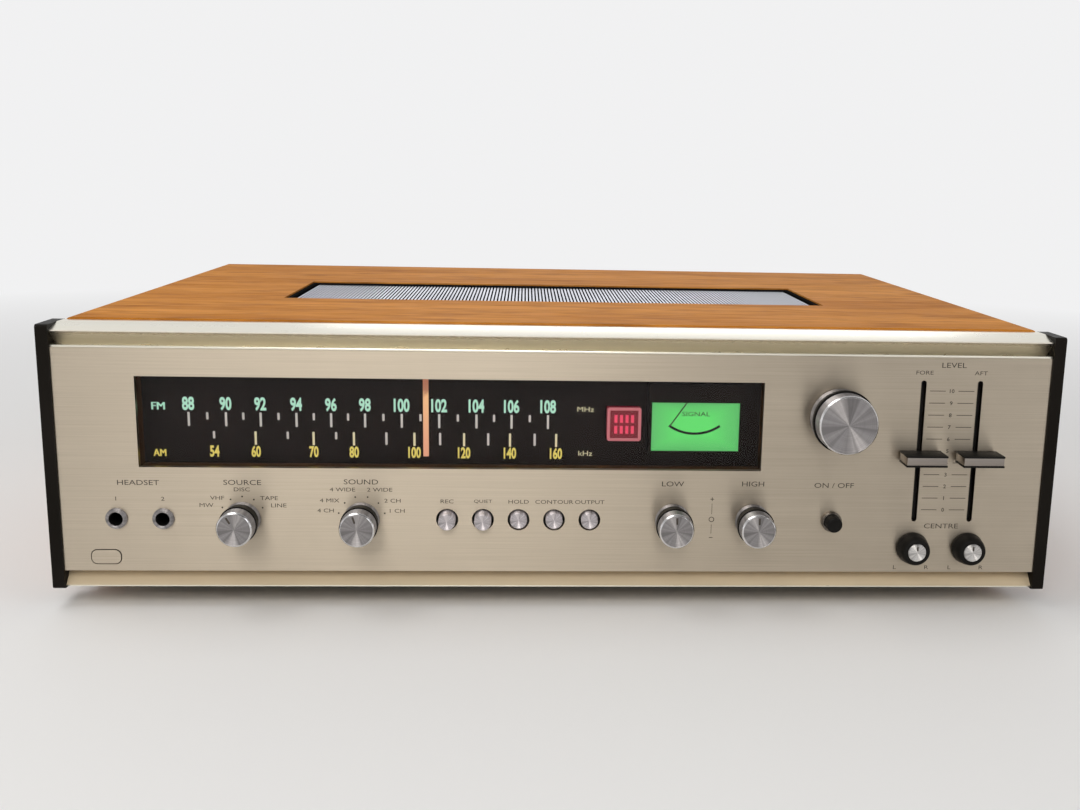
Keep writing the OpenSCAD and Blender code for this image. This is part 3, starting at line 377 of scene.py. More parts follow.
@dataclass(frozen=True)
class Coated(Finish):
    """Moulded, painted, cast or woven surface with handling marks and a fine texture."""

    colour: Colour
    shade: Colour
    roughness: float = 0.5
    metallic: float = 0.0
    scale: float = 26.0
    amount: float = 0.5
    relief_depth: float = 0.00004
    coat: float = 0.0
    specular: float = 0.3
    painted_top: Colour | None = None

    def dress(self, surface: Surface) -> None:
        """Makes handling marks over one colour, and where set, over a colour painted on the faces that look
        up as painted light.

        Args:
            surface: Nodes of its material.
        """
        # Faces that look up can get another colour here: painted light on the tops.
        marks = surface.handled(surface.with_painted_top(self.colour, self.painted_top), self.shade, self.roughness,
                                self.scale, self.amount)
        surface.give({"Metallic": self.metallic, "Coat Weight": self.coat,
                      "Specular IOR Level": self.specular})
        surface.relief(marks["Height"], 0.35, self.relief_depth)


@dataclass(frozen=True)
class Brushed(Finish):
    """Metal with long lines, brushed or drawn along one axis."""

    colour: Colour
    shade: Colour
    lines: Triple
    roughness: float = 0.3
    depth: float = 0.5
    spread: float = 0.0
    turn: float = 0.0
    relief_depth: float = 0.00002
    painted_top: Colour | None = None

    def dress(self, surface: Surface) -> None:
        """Makes brushed lines and faint handling marks over metal.

        Args:
            surface: Nodes of its material.
        """
        # Faces that look up can get another colour here: painted light on the tops.
        lines = surface.effect(SharedEffect.brushing(), {
            "Vector": surface.spot, "Lines": self.lines, "Color": surface.with_painted_top(self.colour, self.painted_top),
            "Shade": self.shade, "Roughness": self.roughness, "Depth": self.depth})
        surface.handled(lines["Color"], self.shade, lines["Roughness"], scale=9.0, amount=0.18)
        surface.give({"Metallic": 1.0, "Anisotropic": self.spread, "Anisotropic Rotation": self.turn})
        if self.relief_depth:
            surface.relief(lines["Height"], 0.25, self.relief_depth)


@dataclass(frozen=True)
class Turned(Finish):
    """Metal turned on a lathe, with rings that follow the piece's own UV map, and painted highlights and
    painted shade in sectors round the axis.
    """

    colour: Colour
    shade: Colour
    roughness: float = 0.48
    spread: float = 0.97
    # Scale of the sectors of painted highlights and painted shade, and the colour's shares in the darker and
    # the lighter sectors.
    painted_sheen_fan: float = 2.3
    painted_shade_share: float = 0.7
    painted_glint_share: float = 1.4
    rings: Triple = (260.0, 1.2, 1.0)

    def dress(self, surface: Surface) -> None:
        """Makes tool rings over metal, with painted highlights and painted shade in fanned sectors round the
        axis, and gloss drawn across the rings.

        Args:
            surface: Nodes of its material.
        """
        turn = surface.add("ShaderNodeTexCoord").outputs["UV"]
        # Painted highlights and painted shade: the colour turns lighter and darker in sectors round the axis.
        angle = surface.math("MULTIPLY", surface.parts(turn)[1], math.tau)
        ray = surface.add("ShaderNodeCombineXYZ", {
            0: surface.math("COSINE", angle), 1: surface.math("SINE", angle)}).outputs[0]
        painted_sheen_fan = surface.ramp(surface.noise(ray, self.painted_sheen_fan, 3.0), 0.38, 0.62)
        painted_tones = [tuple(share * part for part in self.colour) for share in (self.painted_shade_share, self.painted_glint_share)]
        rings = surface.effect(SharedEffect.brushing(), {
            "Vector": turn, "Lines": self.rings, "Color": surface.blend(painted_sheen_fan, *painted_tones), "Shade": self.shade,
            "Roughness": self.roughness, "Depth": 0.5})
        surface.handled(rings["Color"], self.shade, rings["Roughness"], scale=60.0, amount=0.12)
        tangent = surface.add("ShaderNodeTangent", direction_type="UV_MAP", uv_map="turn")
        surface.give({"Metallic": 1.0, "Anisotropic": self.spread, "Tangent": tangent.outputs[0]})
        surface.relief(rings["Height"], 0.3, 0.00002)


@dataclass(frozen=True)
class Veneer(Finish):
    """Oiled wood veneer with straight grain."""

    light: Colour
    middle: Colour
    dark: Colour
    along_depth: bool = False

    def dress(self, surface: Surface) -> None:
        """Makes wood grain along the width, or along the depth.

        Args:
            surface: Nodes of its material.
        """
        turn = math.pi / 2 if self.along_depth else 0.0
        mapped = surface.add("ShaderNodeMapping", {
            "Vector": surface.spot, "Rotation": (0.0, 0.0, turn)}).outputs[0]
        grain = surface.effect(SharedEffect.grain(), {
            "Vector": mapped, "Light": self.light, "Middle": self.middle, "Dark": self.dark})
        surface.handled(grain["Color"], self.middle, grain["Roughness"], scale=6.0, amount=0.25)
        surface.give({"Specular IOR Level": 0.02})
        surface.relief(grain["Height"], 0.3, 0.00008)


@dataclass(frozen=True)
class ClearPane(Finish):
    """Clear pane with a faint film of dust in its gloss."""

    colour: Colour
    bend: float = 1.17

    def dress(self, surface: Surface) -> None:
        """Makes a clear pane whose gloss varies a little.

        Args:
            surface: Nodes of its material.
        """
        film = surface.noise(surface.stretch(surface.spot, (14.0, 14.0, 30.0)), 1.0, 4.0)
        surface.give({"Base Color": self.colour, "Roughness": surface.ramp(film, 0.3, 0.8, 0.0, 0.03),
                      "Transmission Weight": 1.0, "IOR": self.bend})


@dataclass(frozen=True)
class Lit(Finish):
    """Surface that glows, with a darker rim round a box, and where set another colour at its middle."""

    colour: Colour
    dim: Colour
    strength: float
    centre: Triple = (0.0, 0.0, 0.0)
    half: Triple = (1.0, 1.0, 1.0)
    rim: float = 0.5
    edge: float = 1.05
    core: Colour | None = None

    def dress(self, surface: Surface) -> None:
        """Makes a glow that fades towards the edges of a box.

        Args:
            surface: Nodes of its material.
        """
        moved = surface.vector("ADD", surface.spot, tuple(-part for part in self.centre))
        shares = surface.stretch(moved, tuple(1.0 / part for part in self.half))
        sizes = surface.add("ShaderNodeVectorMath", {0: shares}, operation="ABSOLUTE").outputs[0]
        across, _, up = surface.parts(sizes)
        reach = surface.math("MAXIMUM", across, up)
        grain = surface.math("SUBTRACT", surface.noise(surface.spot, 420.0, 2.0), 0.5)
        reached = surface.math("ADD", reach, surface.math("MULTIPLY", grain, 0.12))
        cover = surface.ramp(reached, self.rim, self.edge)
        lit: Any = self.colour
        if self.core:
            lit = surface.blend(surface.ramp(reach, 0.0, self.rim), self.core, self.colour)
        base = tuple(0.3 * part for part in self.colour[:3]) + (1.0,)
        surface.give({"Base Color": base, "Roughness": 0.5, "Emission Strength": self.strength,
                      "Emission Color": surface.blend(cover, lit, self.dim)})


class Finishes:
    """The finishes of this receiver."""

    VENEER_TOP = Veneer("walnut_top", (0.66, 0.285, 0.060, 1), (0.47, 0.178, 0.029, 1),
                        (0.23, 0.074, 0.012, 1))
    VENEER_SIDE = Veneer("walnut_side", (0.62, 0.245, 0.041, 1), (0.45, 0.155, 0.020, 1),
                         (0.21, 0.058, 0.008, 1), along_depth=True)
    PANEL = Brushed("champagne_panel", (0.56, 0.485, 0.385, 1), (0.41, 0.35, 0.272, 1),
                    (14.0, 1900.0, 1900.0), roughness=0.36, spread=0.88, turn=0.25)
    # The top rail's faces that look up get a greyer, darker colour: painted shade on its tops.
    RAIL = Brushed("drawn_rail", (0.88, 0.83, 0.73, 1), (0.78, 0.725, 0.61, 1), (0.15, 260.0, 260.0),
                   relief_depth=0.0, painted_top=(0.80, 0.78, 0.69, 1))
    SATIN_RAIL = Coated("satin_rail", (0.60, 0.49, 0.335, 1), (0.54, 0.445, 0.305, 1), roughness=0.45)
    EDGE = Brushed("bright_edge", (0.90, 0.87, 0.76, 1), (0.80, 0.76, 0.64, 1), (0.15, 260.0, 260.0),
                   depth=0.4, relief_depth=0.0)
    KNOB = Turned("turned_metal", (0.385, 0.365, 0.365, 1), (0.26, 0.245, 0.245, 1))
    INSERT = Turned("bright_insert", (0.74, 0.72, 0.70, 1), (0.56, 0.54, 0.53, 1))
    BAND = Brushed("slider_band", (0.31, 0.275, 0.245, 1), (0.24, 0.212, 0.188, 1), (8.0, 1400.0, 1400.0),
                   depth=0.4)
    BUTTON = Turned("button_metal", (0.68, 0.63, 0.645, 1), (0.48, 0.45, 0.455, 1))
    COLLAR = Turned("bronze_collar", (0.22, 0.19, 0.16, 1), (0.13, 0.115, 0.10, 1), roughness=0.32)
    BLACK = Coated("black_moulded", (0.010, 0.0095, 0.009, 1), (0.016, 0.0148, 0.0136, 1), roughness=0.33,
                   specular=0.04)
    END = Coated("end_cap_black", (0.0085, 0.007, 0.0055, 1), (0.018, 0.0155, 0.013, 1), roughness=0.42,
                 scale=18.0, specular=0.04)
    RIM = Coated("bright_rim", (0.76, 0.75, 0.75, 1), (0.62, 0.61, 0.60, 1), roughness=0.2, metallic=1.0,
                 scale=80.0, amount=0.3)
    VENT = Coated("vent_black", (0.008, 0.008, 0.008, 1), (0.016, 0.016, 0.016, 1), roughness=0.9,
                  specular=0.0)
    PAINT = Coated("black_paint", (0.014, 0.014, 0.014, 1), (0.03, 0.03, 0.03, 1), specular=0.12)
    # The grille's faces that look up get a bright bluish silver, and the rest stays near black: painted light
    # on the tops of the slats, painted shade on their sides.
    GRILLE = Coated("grille_paint", (0.045, 0.047, 0.055, 1), (0.05, 0.052, 0.06, 1), roughness=0.4,
                    metallic=0.6, amount=0.3, painted_top=(0.64, 0.66, 0.745, 1))
    RUBBER = Coated("foot_rubber", (0.018, 0.017, 0.016, 1), (0.05, 0.048, 0.045, 1), roughness=0.85,
                    amount=0.7)
    STEEL = Coated("plated_steel", (0.60, 0.59, 0.57, 1), (0.42, 0.41, 0.39, 1), roughness=0.25, metallic=1.0)
    ZINC = Coated("zinc_sheet", (0.52, 0.52, 0.50, 1), (0.40, 0.39, 0.35, 1), roughness=0.42, metallic=1.0,
                  scale=14.0, amount=0.6)
    CONTROL = Coated("control_moulded", (0.03, 0.029, 0.028, 1), (0.06, 0.055, 0.05, 1))
    HOUSING = Coated("housing_brown", (0.11, 0.05, 0.02, 1), (0.04, 0.018, 0.008, 1), specular=0.1,
                     scale=70.0)
    SCALE = Coated("dial_plate_brown", (0.0085, 0.0045, 0.004, 1), (0.015, 0.008, 0.007, 1), roughness=0.45,
                   specular=0.08)
    RED_RING = Coated("red_ring", (0.34, 0.02, 0.014, 1), (0.22, 0.015, 0.012, 1), roughness=0.45)
    PULLEY = Coated("ivory_moulded", (0.78, 0.74, 0.63, 1), (0.6, 0.55, 0.43, 1), roughness=0.45)
    CORD = Coated("dial_cord", (0.03, 0.028, 0.025, 1), (0.09, 0.085, 0.075, 1), roughness=0.9, scale=900.0)
    COIL = Coated("varnished_iron", (0.11, 0.065, 0.035, 1), (0.03, 0.022, 0.018, 1), roughness=0.38,
                  scale=40.0)
    SLEEVE = Coated("shrunk_sleeve", (0.035, 0.075, 0.24, 1), (0.02, 0.04, 0.12, 1), roughness=0.3, coat=0.3)
    BOARD = Coated("board_green", (0.035, 0.10, 0.025, 1), (0.13, 0.11, 0.03, 1), roughness=0.45, scale=90.0,
                   amount=0.7)
    TERMINAL = Coated("terminal_red", (0.24, 0.022, 0.015, 1), (0.10, 0.015, 0.012, 1), roughness=0.42)
    FERRITE = Coated("ferrite", (0.055, 0.05, 0.048, 1), (0.10, 0.09, 0.08, 1), roughness=0.6)
    INK = Coated("panel_ink", (0.052, 0.042, 0.034, 1), (0.085, 0.07, 0.055, 1), roughness=0.6,
                 relief_depth=0.00001)
    PALE_INK = Coated("rear_ink", (0.68, 0.68, 0.66, 1), (0.5, 0.5, 0.48, 1), roughness=0.6,
                      relief_depth=0.00001)
    PANE = ClearPane("window_pane", (0.96, 0.95, 0.93, 1))
    BULB = ClearPane("bulb_glass", (1.0, 0.93, 0.78, 1))


def finished(made: bmesh.types.BMesh, name: str, outward: bool = False) -> bpy.types.Mesh:
    """Turns a mesh under construction into a plain one.

    Args:
        made: Mesh under construction, which is freed.
        name: Name of the plain mesh.
        outward: Whether its faces are first turned outwards.

    Returns:
        The plain mesh.
    """
    if outward:
        bmesh.ops.recalc_face_normals(made, faces=made.faces)
    mesh = bpy.data.meshes.new(name)
    made.to_mesh(mesh)
    made.free()
    return mesh


def fit(name: str, parts: Iterable[bpy.types.Mesh], finishes: Sequence[Finish], body: str, slot: str,
        *nodes: str) -> None:
    """Joins meshes to one piece that rides on a CAD body, and hides the CAD nodes that it stands for.

    Args:
        name: Name of the piece.
        parts: Meshes, each with its place in its points.
        finishes: A finish for each mesh, of which the last one also serves any further meshes.
        body: CAD body that the piece moves with.
        slot: Name of a material slot; not used.
        *nodes: CAD nodes that the piece stands for.
    """
    joined = bmesh.new()
    chosen = list(dict.fromkeys(finishes))
    for number, part in enumerate(parts):
        finish = finishes[min(number, len(finishes) - 1)]
        first = len(joined.faces)
        joined.from_mesh(part)
        joined.faces.ensure_lookup_table()
        for face in joined.faces[first:]:
            face.material_index = chosen.index(finish)
            face.smooth = True
        bpy.data.meshes.remove(part)
    mesh = finished(joined, name)
    for finish in chosen:
        mesh.materials.append(finish.material())
    mesh.set_sharp_from_angle(angle=SHARP_ANGLE)
    piece = bpy.data.objects.new(name, mesh)
    bpy.context.scene.collection.objects.link(piece)
    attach(piece, body)
    if nodes:
        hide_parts(*nodes)
    LOG.info("%s rides on %s", piece.name, body)


def dress_node(node: str, finish: Finish) -> None:
    """Gives a CAD node a finish.

    Args:
        node: Name of the CAD node.
        finish: Its finish.
    """
    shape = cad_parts[node].data
    shape.materials.clear()
    shape.materials.append(finish.material())
    LOG.info("%s keeps its CAD shape in %s", node, finish.name)


def spin(profile: Sequence[Point], x: float, z: float, closed: bool = False,
         steps: int = 96) -> bpy.types.Mesh:
    """Turns a profile about an axis along Y, with a UV map that runs along it and round it.

    Args:
        profile: Radius and Y of its points, in millimetres.
        x: Axis across, in millimetres.
        z: Axis up, in millimetres.
        closed: Whether the last point joins the first.
        steps: Faces round the axis.

    Returns:
        The mesh.
    """
    made = bmesh.new()
    layer = made.loops.layers.uv.new("turn")
    rows = []
    run = [0.0]
    for number, (radius, y) in enumerate(profile):
        if number:
            run.append(run[-1] + math.dist(profile[number - 1], (radius, y)) * UV_PER_MM)
        row = []
        for step in range(steps if radius > 0 else 1):
            turn = math.tau * step / steps
            row.append(made.verts.new(place(x + radius * math.sin(turn), y, z + radius * math.cos(turn))))
        rows.append(row)
    pairs = [(number, number + 1) for number in range(len(rows) - 1)]
    if closed:
        pairs.append((len(rows) - 1, 0))
    for low, high in pairs:
        for step in range(steps):
            corners = []
            for number, ahead in ((low, 0), (low, 1), (high, 1), (high, 0)):
                row = rows[number]
                corner = (row[(step + ahead) % len(row)], run[number], (step + ahead) / steps)
                if all(corner[0] is not other[0] for other in corners):
                    corners.append(corner)
            face = made.faces.new([corner[0] for corner in corners])
            for loop, corner in zip(face.loops, corners):
                loop[layer].uv = corner[1:]
    return finished(made, "turned", outward=True)


def block(low: Triple, high: Triple, bevel: float = 0.0, turn: float = 0.0,
          about: Point = (0.0, 0.0)) -> bpy.types.Mesh:
    """Makes a box, with round edges where they are given.

    Args:
        low: Lowest corner, in millimetres.
        high: Highest corner, in millimetres.
        bevel: Radius of its edges, in millimetres.
        turn: Degrees that it is turned about an axis along Y, clockwise from the front.
        about: X and Z of that axis.

    Returns:
        The mesh.
    """
    made = bmesh.new()
    bmesh.ops.create_cube(made, size=1.0)
    for vert in made.verts:
        share = vert.co + Vector((0.5, 0.5, 0.5))
        vert.co = place(*(a + (b - a) * s for a, b, s in zip(low, high, share)))
    if bevel:
        bmesh.ops.bevel(made, geom=made.edges[:], offset=bevel * MM, segments=2, affect="EDGES", profile=0.5)
    if turn:
        spun = Matrix.Rotation(math.radians(turn), 3, "Y")
        bmesh.ops.rotate(made, verts=made.verts, cent=place(about[0], 0.0, about[1]), matrix=spun)
    return finished(made, "block")


def prism(section: Sequence[Point], left: float, right: float) -> bpy.types.Mesh:
    """Makes a bar along X from its section.

    Args:
        section: Corners of the section in order, as depth and height in millimetres.
        left: X of one end, in millimetres.
        right: X of the other end, in millimetres.

    Returns:
        The mesh.
    """
    made = bmesh.new()
    start, end = [[made.verts.new(place(x, y, z)) for y, z in section] for x in (left, right)]
    made.faces.new(start)
    made.faces.new(end)
    for number in range(len(section)):
        made.faces.new((start[number - 1], start[number], end[number], end[number - 1]))
    return finished(made, "prism", outward=True)


def pill(at: Point, size: Point, front: float, back: float, bevel: float) -> bpy.types.Mesh:
    """Makes a flat plate with round corners that faces the front.

    Args:
        at: X and Z of its middle, in millimetres.
        size: Its width and height, in millimetres.
        front: Y of its front face, in millimetres.
        back: Y of its back face, in millimetres.
        bevel: Slope of its front edge, in millimetres.

    Returns:
        The mesh.
    """
    made = bmesh.new()
    radius, steps = size[1] * 0.42, 40
    rows = []
    for y, inset in ((back, 0.0), (front + bevel, 0.0), (front, bevel)):
        row = []
        for step in range(steps):
            turn = math.tau * (step + 0.5) / steps
            x = math.copysign(size[0] / 2 - radius, math.cos(turn)) + (radius - inset) * math.cos(turn)
            z = math.copysign(size[1] / 2 - radius, math.sin(turn)) + (radius - inset) * math.sin(turn)
            row.append(made.verts.new(place(at[0] + x, y, at[1] + z)))
        rows.append(row)
    for low, high in zip(rows, rows[1:]):
        for step in range(steps):
            ahead = (step + 1) % steps
            made.faces.new((low[step], low[ahead], high[ahead], high[step]))
    made.faces.new(rows[0])
    made.faces.new(rows[-1])
    return finished(made, "pill", outward=True)


def settled(piece: bpy.types.Object) -> bpy.types.Mesh:
    """Turns an object into a plain mesh and removes the object.

    Args:
        piece: Object with a live modifier, or a text.

    Returns:
        The evaluated mesh.
    """
    bpy.context.scene.collection.objects.link(piece)
    bpy.context.view_layer.update()
    graph = bpy.context.evaluated_depsgraph_get()
    mesh = bpy.data.meshes.new_from_object(piece.evaluated_get(graph))
    bpy.data.objects.remove(piece)
    return mesh


@dataclass(frozen=True)
class Word:
    """One printed word or number, set by its middle and its height in millimetres."""

    text: str
    x: float
    z: float
    height: float
    stretch: float = 1.0
    weight: float = 0.0

    def mesh(self, y: float) -> bpy.types.Mesh:
        """Makes the word as a thin mesh that faces the front.

        Args:
            y: Front of what carries it, in millimetres behind the end caps.

        Returns:
            The mesh.
        """
        font = bpy.data.curves.new("word", "FONT")
        font.body = self.text
        font.offset = self.weight
        font.extrude = 0.5
        font.resolution_u = 3
        mesh = settled(bpy.data.objects.new("word", font))
        low = Vector(min(vert.co[axis] for vert in mesh.vertices) for axis in range(3))
        high = Vector(max(vert.co[axis] for vert in mesh.vertices) for axis in range(3))
        scale = self.height / (high.y - low.y)
        centre = (low + high) / 2
        for vert in mesh.vertices:
            away = vert.co - centre
            depth = y + (-PRINT_DEPTH if away.z > 0 else PRINT_DEPTH) / 2
            vert.co = place(self.x + away.x * scale * self.stretch, depth, self.z + away.y * scale)
        return mesh


class Repeat:
    """Geometry Nodes tree that sets one small shape on many points; each kind says which."""

    def __init__(self, name: str, inputs: dict[str, str]) -> None:
        """Starts the tree with named inputs.

        Args:
            name: Name of the tree.
            inputs: Socket types by name, to which the finish is added.
        """
        self.tree = bpy.data.node_groups.new(name, "GeometryNodeTree")
        face = self.tree.interface
        sockets = inputs | {"Finish": "NodeSocketMaterial"}
        self.keys = {label: face.new_socket(label, in_out="INPUT", socket_type=kind).identifier
                     for label, kind in sockets.items()}
        face.new_socket("Shapes", in_out="OUTPUT", socket_type="NodeSocketGeometry")

    def end(self, weave: Weave, points: Any, body: Any, finish: Any) -> None:
        """Ends the tree with real shapes that have their material.

        Args:
            weave: Weave of the tree.
            points: Socket of the points.
            body: Socket of the shape.
            finish: Socket of the material.
        """
        spread = weave.add("GeometryNodeInstanceOnPoints", {"Points": points, "Instance": body})
        real = weave.add("GeometryNodeRealizeInstances", {0: spread.outputs[0]})
        dressed = weave.add("GeometryNodeSetMaterial", {"Geometry": real.outputs[0], "Material": finish})
        weave.add("NodeGroupOutput", {0: dressed.outputs[0]})

    def run(self, base: bpy.types.Mesh, values: dict[str, Any]) -> bpy.types.Mesh:
        """Runs the tree on a mesh.

        Args:
            base: Mesh that the tree starts from.
            values: Inputs of the tree by name, in metres.

        Returns:
            The mesh of all the shapes.
        """
        piece = bpy.data.objects.new(base.name, base)
        rule = piece.modifiers.new("repeat", "NODES")
        rule.node_group = self.tree
        for label, value in values.items():
            rule[self.keys[label]] = value
        return settled(piece)


class Shape(Enum):
    """Shapes that are stamped on points."""

    BAR = "bar"
    DOT = "dot"
    KEY = "key"


class Stamp(Repeat):
    """Geometry Nodes tree that sets one small shape on every point of a mesh."""

    def __init__(self, shape: Shape) -> None:
        """Builds the tree of one shape, with named inputs for its size and material.

        Args:
            shape: Shape that it stamps.
        """
        super().__init__(f"stamp {shape.value}", {"Points": "NodeSocketGeometry", "Size": "NodeSocketVector"})
        weave = Weave(self.tree)
        given = weave.add("NodeGroupInput").outputs
        size = weave.parts(given["Size"])
        if shape is Shape.DOT:
            drum = weave.add("GeometryNodeMeshCylinder", {
                "Vertices": 20, "Radius": size[0], "Depth": size[1]})
            turned = weave.add("GeometryNodeTransform", {
                0: drum.outputs[0], "Rotation": (math.pi / 2, 0.0, 0.0)})
            body = turned.outputs[0]
        else:
            body = weave.add("GeometryNodeMeshCube", {"Size": given["Size"]}).outputs[0]
        if shape is Shape.KEY:
            normal = weave.add("GeometryNodeInputNormal").outputs[0]
            rear = weave.math("GREATER_THAN", weave.parts(normal)[1], 0.5)
            pulled = weave.add("GeometryNodeExtrudeMesh", {
                "Mesh": body, "Selection": rear, "Offset Scale": size[1]}).outputs
            tapered = weave.add("GeometryNodeScaleElements", {
                "Geometry": pulled["Mesh"], "Selection": pulled["Top"], "Scale": 0.72})
            body = tapered.outputs[0]
        self.end(weave, given["Points"], body, given["Finish"])

    @classmethod
    @cache
    def of(cls, shape: Shape) -> "Stamp":
        """Gives the stamp of a shape, made on first use."""
        return cls(shape)

    def mesh(self, points: Iterable[Vector], size: Triple, finish: Finish) -> bpy.types.Mesh:
        """Stamps the shape on points.

        Args:
            points: Places in the frame.
            size: Width, depth and height of a bar or of a key's base, or a dot's radius and depth, in
                millimetres.
            finish: Finish of the shapes.

        Returns:
            The mesh of all the shapes.
        """
        base = bpy.data.meshes.new("points")
        base.from_pydata(list(points), [], [])
        return self.run(base, {"Size": [part * MM for part in size], "Finish": finish.material()})


class Louvre(Repeat):
    """Geometry Nodes tree for a row of bars set side by side along X."""

    def __init__(self) -> None:
        """Builds the tree, with named inputs for the count, pitch, place and size of the bars."""
        super().__init__("vent slats", {"Count": "NodeSocketInt", "Pitch": "NodeSocketFloat",
                                        "Start": "NodeSocketVector", "Size": "NodeSocketVector"})
        weave = Weave(self.tree)
        given = weave.add("NodeGroupInput").outputs
        step = weave.add("ShaderNodeCombineXYZ", {0: given["Pitch"]}).outputs[0]
        line = weave.add("GeometryNodeMeshLine", {
            "Count": given["Count"], "Start Location": given["Start"], "Offset": step})
        slat = weave.add("GeometryNodeMeshCube", {"Size": given["Size"]})
        self.end(weave, line.outputs[0], slat.outputs[0], given["Finish"])

    def mesh(self, values: dict[str, Any]) -> bpy.types.Mesh:
        """Makes the bars from the tree's inputs by name, in metres."""
        return self.run(bpy.data.meshes.new("slats"), values)


@dataclass(frozen=True)
class Lamp:
    """One soft area lamp: its place, the point it faces and its size in metres, and its power in watts."""

    name: str
    spot: Triple
    aim: Triple
    size: Point
    power: float
    colour: Triple

    def build(self) -> None:
        """Makes the lamp."""
        made = bpy.data.lights.new(self.name, "AREA")
        made.shape = "RECTANGLE"
        made.size, made.size_y = self.size
        made.energy = self.power
        made.color = self.colour
        lamp = bpy.data.objects.new(self.name, made)
        lamp.location = self.spot
        lamp.rotation_euler = (Vector(self.aim) - Vector(self.spot)).to_track_quat("-Z", "Y").to_euler()
        bpy.context.scene.collection.objects.link(lamp)


@dataclass
class Studio:
    """Camera at the photograph's viewing angle, pale floor and soft light."""

    eye: Triple = (-18.1225, -575.1332, 212.8575)
    pitch: float = -0.2058
    roll: float = -0.0210
    yaw: float = -0.0600
    focal: float = 1235.5363
    width: float = 1080.0
    shift: Point = (56.5016, 19.4930)
    backdrop: Colour = (0.88, 0.88, 0.885, 1.0)
    ceiling: Colour = (0.10, 0.095, 0.09, 1.0)
    daylight: Colour = (1.0, 0.985, 0.96, 1.0)
    daylight_strength: float = 0.42
    floor_tones: tuple[Colour, Colour] = ((0.79, 0.79, 0.80, 1), (0.81, 0.81, 0.815, 1))
    floor_radius: float = 8.0
    fade_from: float = 0.45
    fade_to: float = 1.5
    lamps: tuple[Lamp, ...] = (
        Lamp("key_left", (-0.25, -1.5, 1.05), (0.0, -0.05, 0.08), (0.9, 0.8), 11.2, (1.0, 0.97, 0.92)),
        Lamp("fill_right", (1.2, -1.0, 1.0), (0.0, 0.0, 0.08), (0.9, 0.7), 3.0, (0.97, 0.98, 1.0)),
        Lamp("top", (-0.55, -0.15, 1.2), (-0.1, -0.05, 0.1), (1.0, 0.7), 5.0, (1.0, 0.99, 0.97)),
        Lamp("back", (0.2, 1.5, 0.7), (0.0, 0.15, 0.08), (1.2, 0.6), 2.4, (1.0, 1.0, 1.0)))

    def camera(self) -> None:
        """Makes the camera."""
        made = bpy.data.cameras.new("photo_view")
        made.sensor_fit = "HORIZONTAL"
        made.sensor_width = 36.0
        made.lens = self.focal / self.width * made.sensor_width
        made.shift_x = -self.shift[0] / self.width
        made.shift_y = self.shift[1] / self.width
        made.clip_start = 0.01
        turn = (Matrix.Rotation(self.yaw, 3, "Z") @ Matrix.Rotation(self.pitch, 3, "X")
                @ Matrix.Rotation(self.roll, 3, "Y"))
        right, ahead, up = turn.col
        seat = Matrix((right, up, -ahead)).transposed().to_4x4()
        seat.translation = place(*self.eye)
        view = bpy.data.objects.new("photo_view", made)
        view.matrix_world = seat
        bpy.context.scene.collection.objects.link(view)
        bpy.context.scene.camera = view

    def seen(self, weave: Weave) -> bpy.types.NodeSocket:
        """Gives 1 for rays that show the background: camera, glossy and transmission rays.

        Args:
            weave: Weave of the tree that asks.

        Returns:
            The socket that gives it.
        """
        path = weave.add("ShaderNodeLightPath").outputs
        glossy = weave.math("MAXIMUM", path["Is Camera Ray"], path["Is Glossy Ray"])
        return weave.math("MAXIMUM", glossy, path["Is Transmission Ray"])

    def world(self) -> None:
        """Makes the pale surroundings."""
        made = bpy.data.worlds.new("pale_room")
        made.use_nodes = True
        weave = Weave(made.node_tree)
        made.node_tree.nodes.clear()
        light = weave.add("ShaderNodeBackground", {
            "Color": self.daylight, "Strength": self.daylight_strength})
        way = weave.parts(weave.add("ShaderNodeTexCoord").outputs["Generated"])
        side = weave.ramp(way[0], -0.9, 0.7, 0.45, 1.0)
        front = weave.ramp(way[1], -0.1, 0.35, 1.0, 0.0)
        shade = weave.math("MULTIPLY", weave.ramp(way[2], 0.13, 0.45), weave.math("MULTIPLY", side, front))
        wall = weave.blend(shade, self.backdrop, self.ceiling)
        shown = weave.add("ShaderNodeBackground", {"Color": wall, "Strength": 1.0})
        mixed = weave.add("ShaderNodeMixShader", {
            0: self.seen(weave), 1: light.outputs[0], 2: shown.outputs[0]})
        weave.add("ShaderNodeOutputWorld", {0: mixed.outputs[0]})
        bpy.context.scene.world = made

    def floor(self) -> None:
        """Makes a round pale floor that runs into the background."""
        made = bmesh.new()
        bmesh.ops.create_circle(made, cap_ends=True, segments=96, radius=self.floor_radius)
        mesh = finished(made, "floor")
        pale = Surface("pale_floor")
        patch = pale.noise(pale.spot, 3.0, 3.0)
        pale.give({"Base Color": pale.blend(patch, *self.floor_tones), "Roughness": 0.6})
        away = pale.add("ShaderNodeVectorMath", {0: pale.spot}, operation="LENGTH").outputs["Value"]
        fade = pale.math("MULTIPLY", pale.ramp(away, self.fade_from, self.fade_to), self.seen(pale))
        glow = pale.add("ShaderNodeEmission", {"Color": self.backdrop, "Strength": 1.0})
        mixed = pale.add("ShaderNodeMixShader", {0: fade, 1: pale.shader.outputs[0], 2: glow.outputs[0]})
        pale.feed(pale.tree.nodes["Material Output"].inputs[0], mixed.outputs[0])
        mesh.materials.append(pale.made)
        ground = bpy.data.objects.new("floor", mesh)
        bpy.context.scene.collection.objects.link(ground)

    def build(self) -> None:
        """Makes the whole stage."""
        bpy.context.scene.view_settings.view_transform = "Standard"
        self.camera()
        self.world()
        self.floor()
        for lamp in self.lamps:
            lamp.build()


